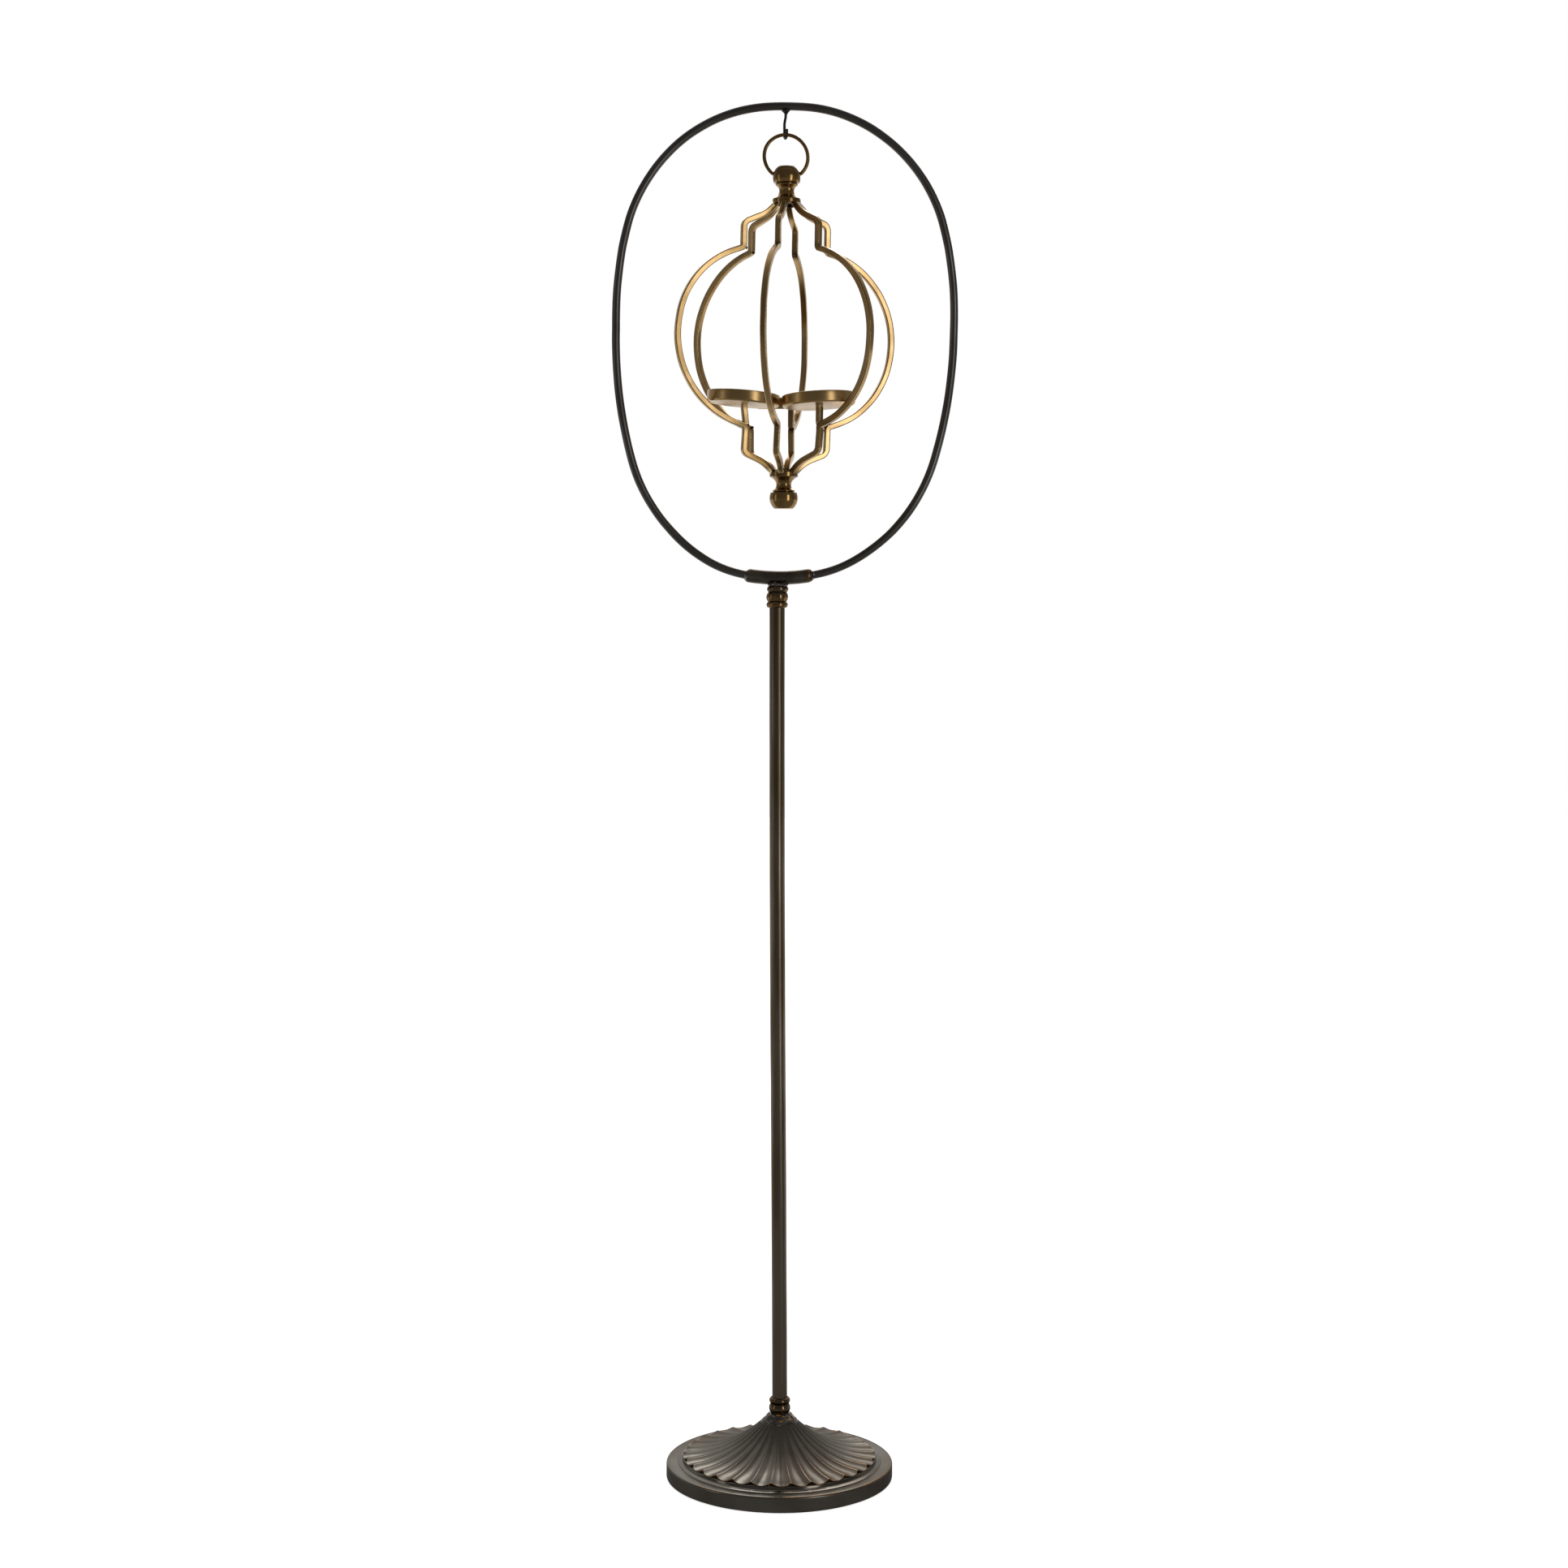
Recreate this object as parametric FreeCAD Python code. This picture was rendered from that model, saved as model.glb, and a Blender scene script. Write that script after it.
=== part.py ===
import FreeCAD, Part
import math
import os

os.makedirs("parts", exist_ok=True)

# A tall candle lantern stand: a fluted cast base, a tube pole, a round hoop bent from bar, and a
# six-ribbed brass lantern with three candle plates that hangs in the hoop from a hook and a ring.
# Millimetres, +Z up, origin at the middle of the underside, hoop in the XZ plane, front towards -Y.

Vector = FreeCAD.Vector
AXIS_Z = Vector(0, 0, 1)

# ---- driving dimensions -------------------------------------------------------------------------

# Base casting
base_r = 127.0
felt_thick = 1.5
felt_inset = 4.0            # the felt stops this far inside the base's edge
rim_top_z = 18.6            # flat rim above the floor
rim_round = 2.4
rim_wall = 9.0
rim_flat = 13.2             # width of the rim, out from the foot of the cove
cove_width = 5.5
cove_lip = 0.6              # the cove's top edge stands out this far from the cap above it
cap_edge_z = 24.8           # bottom of a flute at the scalloped edge
flute_count = 30
flute_depth = 3.0           # at the scalloped edge, fading out towards the pole
flute_start_r = 15.2
flute_turn = 1.0            # degrees that the front flute lies off the front
scallop_depth = 3.0
dome_seat_r = 13.2
dome_seat_z = 71.8
dome_curve = 2.4            # 1 is a straight cone, more makes the dome hollower
dome_shares = [0.0, 0.1, 0.24, 0.42, 0.66, 1.0]     # where its sections stand, from the collar out
casting_wall = 4.0
boss_r = 14.0

# Ballast and its fixing under the base
weight_inset = 3.4          # the weight is this much smaller than the fluted cap
weight_thick = 14.0
weight_top_z = 18.0
nut_recess_r = 13.0
nut_recess_depth = 9.0
washer_r = 10.5
washer_thick = 2.0
nut_flats = 16.0
nut_thick = 8.0
stud_r = 5.0
stud_clearance = 0.25

# Collars and pole
collar_r = 12.0             # the barrel of both collars
collar_bead_r = 11.8
collar_groove_r = 10.4
collar_barrel = 10.6
collar_bead = 6.6
lower_foot = 1.6
upper_crown = 1.4
pole_r = 8.4
pole_wall = 1.5
pole_length = 897.1
socket_depth = 6.0
socket_clearance = 0.05
bush_length = 26.0
bush_cover = 3.0            # bush beyond the end of its stud
lower_braze_r = 20.5
lower_braze_rise = 3.2
upper_braze_rise = 4.2

# Hoop: bar bent to these radii, in order from the bottom, and the turn of each bend in degrees.
# One more bend closes the hoop over the top.
hoop_bar_r = 4.4
hoop_bends = [(214.3, 9.86), (135.5, 20.62), (187.0, 43.9), (503.7, 28.99), (166.4, 73.29)]
hoop_joint = 0.6            # gap between the bar's two ends inside the sleeve
sleeve_r = 7.5
sleeve_length = 70.0
sleeve_fit = 0.05
left_braze_length = 3.5
right_braze_length = 5.0
braze_inset = 0.4

# Hook under the top of the hoop
hook_wire_r = 1.5
hook_drop = 30.0            # underside of the hoop to the middle of the wire at the saddle
hook_bend_r = 4.3
hook_tip = 5.2              # tip above the middle of the hook's bend
hook_neck_drop = 4.5
hook_twist = 18.0           # degrees that the hook is turned from square to the ring
hook_weld_r = 4.3
hook_weld_drop = 3.4

# Hanging ring
ring_wire_r = 2.0
ring_r = 23.7               # middle of the wire
ring_end_bend_r = 3.0
ring_saddle_gap = 0.3
pin_below_ring = 18.1       # ring's centre down to its two pins
pin_inner_x = 9.0
pin_clearance = 0.05
bore_flare = 1.0

# Turned finials
ball_r = 15.3
ball_flat = 11.7            # ball's centre to its flat end
pin_above_ball = 4.1
ball_waist = 6.4            # ball's centre to the groove under it
ball_groove_r = 11.4
bead_r = 12.4
bead_width = 2.7
neck_waist_r = 8.2
neck_length = 13.2
finial_flange_r = 15.6
finial_flange = 5.9
flange_lip = 1.6
bottom_ball_r = 15.6
bottom_flange = 6.7

# Lantern ribs: square bar. Angles are degrees below the horizontal.
rib_bar = 6.4
rib_angles = [199.2, 258.3, 317.2, 18.5, 79.3, 141.0]
rib_arc_r = 98.2           # middle of the bar
rib_arc_centre_r = 26.9
rib_arc_below_flange = 144.9
lantern_height = 289.8      # between the two flanges
top_neck_r = 48.5
top_shoulder_drop = 26.8
bottom_neck_r = 48.1
bottom_shoulder_rise = 25.0
shoulder_r = 8.0
steep_angle = 42.0
mild_angle = 22.0
mild_length = 13.0
blend_r = 40.0
corner_round = 1.6

# Candle plates
plated_ribs = [1, 3, 5]     # a plate stands over each of these
plate_r = 39.5
plate_depth = 12.5
plate_sheet = 1.6
plate_corner_r = 2.2
plate_pitch_r = 47.5
plate_lean = 4.5            # degrees, inner edge low
plate_below_flange = 216.1
plate_drops = [0.0, 2.6, 0.0]   # set by hand: how much lower than the first each plate sits
stem_bar = 6.4
stem_foot = 0.8             # how far the stem's foot reaches below the rib's inner corner

# ---- places worked out from them ----------------------------------------------------------------

cove_foot_r = base_r - rim_flat
cove_top_r = cove_foot_r - cove_width
cap_r = cove_top_r - cove_lip       # tips of the scalloped edge
weight_r = cap_r - weight_inset
lower_collar_z = dome_seat_z
lower_collar_top = lower_collar_z + lower_foot + collar_barrel + collar_bead
pole_bottom_z = lower_collar_top - socket_depth
pole_top_z = pole_bottom_z + pole_length
upper_collar_z = pole_top_z - socket_depth
upper_collar_top = upper_collar_z + 2 * collar_bead + collar_barrel + upper_crown
hoop_bottom_z = upper_collar_top + sleeve_r
pole_bore_r = pole_r - pole_wall
stud_bore_r = stud_r + stud_clearance
weight_bottom_z = weight_top_z - weight_thick
washer_top_z = weight_bottom_z + nut_recess_depth
nut_top_z = washer_top_z - washer_thick
nut_bottom_z = nut_top_z - nut_thick
rib_half = rib_bar / 2


def radial(angle, length=1.0):
    return Vector(math.cos(math.radians(angle)) * length, math.sin(math.radians(angle)) * length, 0)


def save(name, shape):
    if isinstance(shape, Part.Compound) and len(shape.Solids) == 1:
        shape = shape.Solids[0]
    print(f"{name:22s} solids {len(shape.Solids)} valid {shape.isValid()} volume {shape.Volume:10.1f}")
    shape.exportStep(f"parts/{name}.step")
    return shape


# An outline in the XZ plane. A step is an end point, or a point on an arc and its end point.
def outline(start, steps):
    edges = []
    here = Vector(start[0], 0, start[1])
    for step in steps:
        if isinstance(step[0], tuple):
            middle = Vector(step[0][0], 0, step[0][1])
            end = Vector(step[1][0], 0, step[1][1])
            edges.append(Part.Arc(here, middle, end).toShape())
        else:
            end = Vector(step[0], 0, step[1])
            edges.append(Part.makeLine(here, end))
        here = end
    first = Vector(start[0], 0, start[1])
    if (here - first).Length > 1e-6:
        edges.append(Part.makeLine(here, first))
    return Part.Wire(edges)


def turned(start, steps):
    return Part.Face(outline(start, steps)).revolve(Vector(0, 0, 0), AXIS_Z, 360)


def rod(radius, bottom, top):
    return Part.makeCylinder(radius, top - bottom, Vector(0, 0, bottom))


# Half of a bulge on a turned piece: an arc from one groove to the next.
def bulge(groove_r, bulge_r, bottom, top):
    return ((bulge_r, (bottom + top) / 2), (groove_r, top))


# A round wire along a path of joined lines and arcs.
def wire_along(path, radius):
    edge = path.OrderedEdges[0]
    start = path.OrderedVertexes[0].Point
    direction = edge.tangentAt(edge.FirstParameter)
    if (edge.valueAt(edge.FirstParameter) - start).Length > 1e-6:
        direction = edge.tangentAt(edge.LastParameter) * -1
    section = Part.Wire(Part.makeCircle(radius, start, direction))
    return path.makePipeShell([section], True, False)


# ---- base ---------------------------------------------------------------------------------------

cap_ridge_end_z = cap_edge_z + flute_depth


def ridge_z(r):
    t = (r - dome_seat_r) / (cap_r - dome_seat_r)
    return cap_ridge_end_z + (dome_seat_z - cap_ridge_end_z) * max(0.0, 1 - t) ** dome_curve


def flute_z(r):
    fade = max(0.0, (r - flute_start_r) / (cap_r - flute_start_r))
    return ridge_z(r) - flute_depth * fade


# A closed outline of arcs: tips lie on tip_r at tip_z, and the arcs' middles on middle_r at middle_z.
def scalloped(tip_r, tip_z, middle_r, middle_z):
    pitch = 360.0 / flute_count
    edges = []
    for k in range(flute_count):
        centre = 270.0 + flute_turn + k * pitch
        a = radial(centre - pitch / 2, tip_r) + Vector(0, 0, tip_z)
        b = radial(centre, middle_r) + Vector(0, 0, middle_z)
        c = radial(centre + pitch / 2, tip_r) + Vector(0, 0, tip_z)
        edges.append(Part.Arc(a, b, c).toShape())
    return Part.Wire(edges)


def fluted_cap():
    lowest_z = rim_top_z - casting_wall / 2
    tip_end_r = cap_r - scallop_depth
    sections = [scalloped(dome_seat_r, dome_seat_z, dome_seat_r, dome_seat_z)]
    for share in dome_shares[1:]:
        tip_r = dome_seat_r + (tip_end_r - dome_seat_r) * share
        middle_r = dome_seat_r + (cap_r - dome_seat_r) * share
        sections.append(scalloped(tip_r, ridge_z(tip_r), middle_r, flute_z(middle_r)))
    foot = scalloped(tip_end_r, lowest_z, cap_r, lowest_z)
    skin = Part.makeLoft(sections, False, True).Faces
    wall = Part.makeLoft([sections[-1], foot], False, True).Faces
    shell = Part.makeShell(skin + wall + [Part.Face(sections[0]), Part.Face(foot)])
    shell.sewShape()
    cap = Part.Solid(shell)
    if cap.Volume < 0:
        cap.reverse()
    return cap


def make_base_dome():
    cove_mid = ((cove_foot_r + cove_top_r) / 2 - 0.8, (rim_top_z + cap_edge_z) / 2 - 0.8)
    round_mid = rim_round * (1 - math.sqrt(0.5))
    rim = turned((0, felt_thick), [
        (base_r, felt_thick),
        (base_r, rim_top_z - rim_round),
        ((base_r - round_mid, rim_top_z - round_mid), (base_r - rim_round, rim_top_z)),
        (cove_foot_r, rim_top_z),
        (cove_mid, (cove_top_r, cap_edge_z)),
        (0, cap_edge_z),
    ])
    inner_r = base_r - rim_wall
    roof_r = cove_top_r - casting_wall - 2
    roof = []
    for share in reversed(dome_shares):
        r = boss_r + (roof_r - boss_r) * share
        roof.append((r, flute_z(r) - casting_wall))
    hollow = turned((0, 0), [
        (inner_r, 0),
        (inner_r, rim_top_z - casting_wall),
        (cove_top_r, rim_top_z - casting_wall),
        *roof,
        (boss_r, weight_top_z),
        (0, weight_top_z),
    ])
    casting = rim.fuse(fluted_cap()).cut(hollow)
    return casting.cut(rod(stud_bore_r, 0, dome_seat_z + 1)).removeSplitter()


def make_base_weight():
    disc = rod(weight_r, weight_bottom_z, weight_top_z)
    recess = rod(nut_recess_r, weight_bottom_z - 1, washer_top_z)
    return disc.cut(recess).cut(rod(stud_bore_r, 0, weight_top_z + 1))


def make_base_nut():
    corners = [radial(60 * k, nut_flats / math.sqrt(3)) + Vector(0, 0, nut_bottom_z) for k in range(7)]
    hexagon = Part.Face(Part.makePolygon(corners)).extrude(Vector(0, 0, nut_thick))
    return hexagon.cut(rod(stud_r, nut_bottom_z - 1, nut_top_z + 1))


save("base_felt", rod(base_r - felt_inset, 0, felt_thick))
base_dome = save("base_dome", make_base_dome())
save("base_weight", make_base_weight())
washer = rod(washer_r, nut_top_z, washer_top_z)
save("base_washer", washer.cut(rod(stud_bore_r, nut_top_z - 1, washer_top_z + 1)))
save("base_nut", make_base_nut())
save("base_stud", rod(stud_r, nut_bottom_z, pole_bottom_z + bush_length - bush_cover))

# ---- collars and pole ---------------------------------------------------------------------------


def make_lower_collar():
    barrel_z = lower_collar_z + lower_foot
    bead_z = barrel_z + collar_barrel
    body = turned((0, lower_collar_z), [
        (collar_groove_r, lower_collar_z),
        (collar_groove_r, barrel_z),
        bulge(collar_groove_r, collar_r, barrel_z, bead_z),
        bulge(collar_groove_r, collar_bead_r, bead_z, lower_collar_top),
        (0, lower_collar_top),
    ])
    socket = rod(pole_r + socket_clearance, pole_bottom_z, lower_collar_top + 1)
    return body.cut(socket).cut(rod(stud_bore_r, lower_collar_z - 1, lower_collar_top))


def make_upper_collar():
    barrel_z = upper_collar_z + collar_bead
    top_bead_z = barrel_z + collar_barrel
    body = turned((0, upper_collar_z), [
        (collar_groove_r, upper_collar_z),
        bulge(collar_groove_r, collar_bead_r, upper_collar_z, barrel_z),
        bulge(collar_groove_r, collar_r, barrel_z, top_bead_z),
        bulge(collar_groove_r, collar_bead_r, top_bead_z, top_bead_z + collar_bead),
        (collar_groove_r, upper_collar_top),
        (0, upper_collar_top),
    ])
    socket = rod(pole_r + socket_clearance, upper_collar_z - 1, pole_top_z)
    return body.cut(socket).cut(rod(stud_r, pole_top_z - 1, upper_stud_top))


def bush(bottom, top):
    return rod(pole_bore_r, bottom, top).cut(rod(stud_r, bottom - 1, top + 1))


upper_stud_top = upper_collar_top - 4
upper_stud_bottom = pole_top_z - bush_length + bush_cover
lower_collar = save("lower_collar", make_lower_collar())
upper_collar = save("upper_collar", make_upper_collar())
pole = rod(pole_r, pole_bottom_z, pole_top_z)
save("pole_tube", pole.cut(rod(pole_bore_r, pole_bottom_z - 1, pole_top_z + 1)))
save("pole_lower_bush", bush(pole_bottom_z, pole_bottom_z + bush_length))
save("pole_upper_bush", bush(pole_top_z - bush_length, pole_top_z))
save("upper_stud", rod(stud_r, upper_stud_bottom, upper_stud_top))


def make_lower_braze():
    top_z = lower_collar_z + lower_braze_rise
    foot_z = ridge_z(lower_braze_r) - 2
    blob = turned((0, foot_z), [
        (lower_braze_r, foot_z),
        (lower_braze_r, ridge_z(lower_braze_r) + 0.3),
        ((lower_braze_r - 5.4, dome_seat_z - 0.4), (collar_groove_r + 0.9, top_z)),
        (0, top_z),
    ])
    ring = blob.cut(base_dome).cut(lower_collar).cut(rod(collar_groove_r - 1, foot_z - 1, top_z + 1))
    return max(ring.Solids, key=lambda solid: solid.Volume)


save("lower_braze", make_lower_braze())

# ---- hoop ---------------------------------------------------------------------------------------


# The hoop's right half as arcs from the bottom to the top: start, middle and end of each bend.
def hoop_arcs():
    arcs = []
    x = 0.0
    z = hoop_bottom_z
    heading = 0.0
    bends = hoop_bends + [(None, 180.0 - sum(turn for _, turn in hoop_bends))]
    for radius, turn in bends:
        step = math.radians(turn)
        if radius is None:
            radius = x / math.sin(step)
        centre_x = x - radius * math.sin(heading)
        centre_z = z + radius * math.cos(heading)
        points = []
        for share in (0.0, 0.5, 1.0):
            angle = heading + step * share
            points.append((centre_x + radius * math.sin(angle), centre_z - radius * math.cos(angle)))
        arcs.append(points)
        heading += step
        x, z = points[2]
    return arcs


bend_arcs = hoop_arcs()
hoop_top_z = bend_arcs[-1][2][1]
hoop_under_z = hoop_top_z - hoop_bar_r


def hoop_path():
    edges = []
    for points in bend_arcs:
        a, b, c = [Vector(x, 0, z) for x, z in points]
        edges.append(Part.Arc(a, b, c).toShape())
    for points in reversed(bend_arcs):
        a, b, c = [Vector(-x, 0, z) for x, z in points]
        edges.append(Part.Arc(c, b, a).toShape())
    return Part.Wire(edges)


# A stretch of the bottom bend, so many degrees either side of the middle.
def bottom_bend(left, right):
    radius = hoop_bends[0][0]
    centre = Vector(0, 0, hoop_bottom_z + radius)
    points = []
    for angle in (-left, (right - left) / 2, right):
        a = math.radians(angle)
        points.append(centre + Vector(radius * math.sin(a), 0, -radius * math.cos(a)))
    return Part.Wire(Part.Arc(*points).toShape())


def make_hoop():
    bar = wire_along(hoop_path(), hoop_bar_r)
    gap = Part.makeBox(hoop_joint, 4 * hoop_bar_r, 4 * hoop_bar_r)
    gap.translate(Vector(-hoop_joint / 2, -2 * hoop_bar_r, hoop_bottom_z - 2 * hoop_bar_r))
    return bar.cut(gap)


sleeve_turn = math.degrees(sleeve_length / 2 / hoop_bends[0][0])


def make_sleeve():
    tube = wire_along(bottom_bend(sleeve_turn, sleeve_turn), sleeve_r)
    core = wire_along(bottom_bend(sleeve_turn + 0.3, sleeve_turn + 0.3), hoop_bar_r + sleeve_fit)
    return tube.cut(core)


# A cone of braze from the sleeve's end down to the bar.
def sleeve_braze(side, length):
    cone = Part.makeCone(sleeve_r - braze_inset, hoop_bar_r + braze_inset, length)
    cone.rotate(Vector(0, 0, 0), Vector(0, 1, 0), 90)
    cone.translate(Vector(0, 0, -hoop_bends[0][0]))
    cone.rotate(Vector(0, 0, 0), Vector(0, 1, 0), -sleeve_turn)
    cone.translate(Vector(0, 0, hoop_bottom_z + hoop_bends[0][0]))
    if side < 0:
        cone = cone.mirror(Vector(0, 0, 0), Vector(1, 0, 0))
    return cone.cut(hoop)


def make_upper_braze():
    top_z = upper_collar_top + upper_braze_rise
    foot_z = upper_collar_top - upper_crown
    blob = turned((0, foot_z), [
        (collar_groove_r + 0.8, foot_z),
        ((collar_groove_r + 0.3, upper_collar_top + 0.6), (sleeve_r - 0.6, top_z)),
        (0, top_z),
    ])
    core = wire_along(bottom_bend(sleeve_turn, sleeve_turn), sleeve_r)
    return blob.cut(core).cut(upper_collar)


hoop = save("hoop", make_hoop())
save("hoop_sleeve", make_sleeve())
save("sleeve_braze_left", sleeve_braze(-1, left_braze_length))
save("sleeve_braze_right", sleeve_braze(1, right_braze_length))
save("upper_braze", make_upper_braze())

# ---- hook and ring ------------------------------------------------------------------------------

saddle_z = hoop_under_z - hook_drop
hook_bend_z = saddle_z + hook_bend_r
ring_top_z = saddle_z + hook_wire_r + ring_saddle_gap + ring_wire_r
ring_centre_z = ring_top_z - ring_r
pin_z = ring_centre_z - pin_below_ring


# The hook's path in the YZ plane: down, back in an S bend, down, round under the ring and up.
def hook_path():
    neck_z = hoop_under_z - hook_neck_drop
    s_turn = math.radians(43.0)
    s_r = hook_bend_r / 2 / (1 - math.cos(s_turn))
    middle_z = neck_z - s_r * math.sin(s_turn)
    half = s_turn / 2
    top = Vector(0, 0, hoop_under_z + 1)
    a = Vector(0, 0, neck_z)
    ab = Vector(0, s_r * (1 - math.cos(half)), neck_z - s_r * math.sin(half))
    b = Vector(0, hook_bend_r / 2, middle_z)
    bc = Vector(0, hook_bend_r - s_r * (1 - math.cos(half)), 2 * middle_z - neck_z + s_r * math.sin(half))
    c = Vector(0, hook_bend_r, 2 * middle_z - neck_z)
    d = Vector(0, hook_bend_r, hook_bend_z)
    under = Vector(0, 0, saddle_z)
    e = Vector(0, -hook_bend_r, hook_bend_z)
    tip = Vector(0, -hook_bend_r, hook_bend_z + hook_tip)
    return Part.Wire([
        Part.makeLine(top, a),
        Part.Arc(a, ab, b).toShape(),
        Part.Arc(b, bc, c).toShape(),
        Part.makeLine(c, d),
        Part.Arc(d, under, e).toShape(),
        Part.makeLine(e, tip),
    ])


def make_hook():
    wire = wire_along(hook_path(), hook_wire_r)
    tip_edges = [e for e in wire.Edges if abs(e.CenterOfMass.z - hook_bend_z - hook_tip) < 1e-3]
    wire = wire.makeFillet(hook_wire_r * 0.45, tip_edges)
    wire.rotate(Vector(0, 0, 0), AXIS_Z, hook_twist)
    return wire.cut(hoop)


def make_hook_weld():
    cone = Part.makeCone(hook_wire_r + 0.3, hook_weld_r, hook_weld_drop + 0.8)
    cone.translate(Vector(0, 0, hoop_under_z - hook_weld_drop))
    return cone.cut(hoop).cut(hook)


def ring_path():
    bend_z = pin_z + ring_end_bend_r
    bend_x = math.sqrt((ring_r - ring_end_bend_r) ** 2 - (ring_centre_z - bend_z) ** 2)
    centre = Vector(bend_x, 0, bend_z)
    out = (centre - Vector(0, 0, ring_centre_z)).normalize()
    join = Vector(0, 0, ring_centre_z) + out * ring_r
    half = (out + Vector(0, 0, -1)).normalize()
    middle = centre + half * ring_end_bend_r
    foot = Vector(bend_x, 0, pin_z)
    pin_end = Vector(pin_inner_x, 0, pin_z)
    top = Vector(0, 0, ring_top_z)

    def left(v):
        return Vector(-v.x, v.y, v.z)

    return Part.Wire([
        Part.makeLine(pin_end, foot),
        Part.Arc(foot, middle, join).toShape(),
        Part.Arc(join, top, left(join)).toShape(),
        Part.Arc(left(join), left(middle), left(foot)).toShape(),
        Part.makeLine(left(foot), left(pin_end)),
    ])


hook = save("hook", make_hook())
save("hook_weld", make_hook_weld())
hanging_ring = save("hanging_ring", wire_along(ring_path(), ring_wire_r))

# ---- lantern ------------------------------------------------------------------------------------

ball_z = pin_z - pin_above_ball
bead_top_z = ball_z - ball_waist
bead_bottom_z = bead_top_z - bead_width
flange_top_z = bead_bottom_z - neck_length
flange_z = flange_top_z - finial_flange
bottom_flange_z = flange_z - lantern_height
arc_z = flange_z - rib_arc_below_flange


# Turned from its flange, at height 0, to its flat ball end. The axis points from flange to ball.
def finial(ball_radius, flange_height):
    neck_z = flange_height + neck_length
    bead_z = neck_z + bead_width
    centre_z = bead_z + ball_waist
    flat_z = centre_z + ball_flat
    ball_low_r = math.sqrt(ball_radius ** 2 - (ball_waist - 0.6) ** 2)
    flat_r = math.sqrt(ball_radius ** 2 - ball_flat ** 2)
    return turned((0, 0), [
        (finial_flange_r - flange_lip * 0.4, 0),
        (finial_flange_r, flange_lip * 0.5),
        (finial_flange_r, flange_height - flange_lip),
        ((finial_flange_r - flange_lip * 0.3, flange_height - flange_lip * 0.3),
         (finial_flange_r - flange_lip, flange_height)),
        ((neck_waist_r + 1.0, flange_height + neck_length * 0.3),
         (neck_waist_r, flange_height + neck_length * 0.62)),
        ((neck_waist_r + 0.7, neck_z - neck_length * 0.15), (bead_r - 1.6, neck_z)),
        ((bead_r, (neck_z + bead_z) / 2), (ball_groove_r, bead_z)),
        (ball_low_r, centre_z - ball_waist + 0.6),
        ((ball_radius, centre_z), (flat_r, flat_z)),
        (0, flat_z),
    ])


def make_top_finial():
    body = finial(ball_r, finial_flange)
    body.translate(Vector(0, 0, flange_z))
    bore_r = ring_wire_r + pin_clearance
    bore = Part.makeCylinder(bore_r, 4 * ball_r, Vector(-2 * ball_r, 0, pin_z), Vector(1, 0, 0))
    body = body.cut(bore)
    flare_x = math.sqrt(ball_r ** 2 - pin_above_ball ** 2) - bore_flare
    for side in (1, -1):
        flare = Part.makeCone(bore_r, bore_r + 2 * bore_flare, 2 * bore_flare,
                              Vector(side * flare_x, 0, pin_z), Vector(side, 0, 0))
        body = body.cut(flare)
    return body


def make_bottom_finial():
    body = finial(bottom_ball_r, bottom_flange)
    body.rotate(Vector(0, 0, 0), Vector(1, 0, 0), 180)
    body.translate(Vector(0, 0, bottom_flange_z))
    return body


# One face of a rib from a flange to its neck, offset from the bar's middle by t. The steps are in
# order from the flange outwards; up is 1 at the top flange and -1 at the bottom flange.
def shoulder(neck_r, shoulder_z, end_z, up, t):
    steep = math.radians(steep_angle)
    mild = math.radians(mild_angle)

    def off(centre, radius, angle):
        return (centre[0] + radius * math.sin(angle), centre[1] + up * radius * math.cos(angle))

    hub = (neck_r - shoulder_r, shoulder_z)
    start = off(hub, shoulder_r, mild)
    before = (start[0] - mild_length * math.cos(mild), start[1] + up * mild_length * math.sin(mild))
    blend = off(before, blend_r, mild)
    low = off(blend, t - blend_r, steep)
    run = up * (end_z - low[1]) / math.tan(steep)
    return [
        (low[0] - run, end_z),
        low,
        (off(blend, t - blend_r, (steep + mild) / 2), off(blend, t - blend_r, mild)),
        off(hub, shoulder_r + t, mild),
        (off(hub, shoulder_r + t, (mild + math.pi / 2) / 2), off(hub, shoulder_r + t, math.pi / 2)),
    ]


# The same steps walked from the neck back to the flange.
def reverse_steps(steps):
    ends = [s[1] if isinstance(s[0], tuple) else s for s in steps]
    back = []
    for k in range(len(steps) - 1, 0, -1):
        if isinstance(steps[k][0], tuple):
            back.append((steps[k][0], ends[k - 1]))
        else:
            back.append(ends[k - 1])
    return back


# Where a neck's face meets the big arc's face, both offset from the bar's middle by t.
def corner(neck_r, up, t):
    reach = neck_r + t - rib_arc_centre_r
    return (neck_r + t, arc_z + up * math.sqrt((rib_arc_r + t) ** 2 - reach ** 2))


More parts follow.
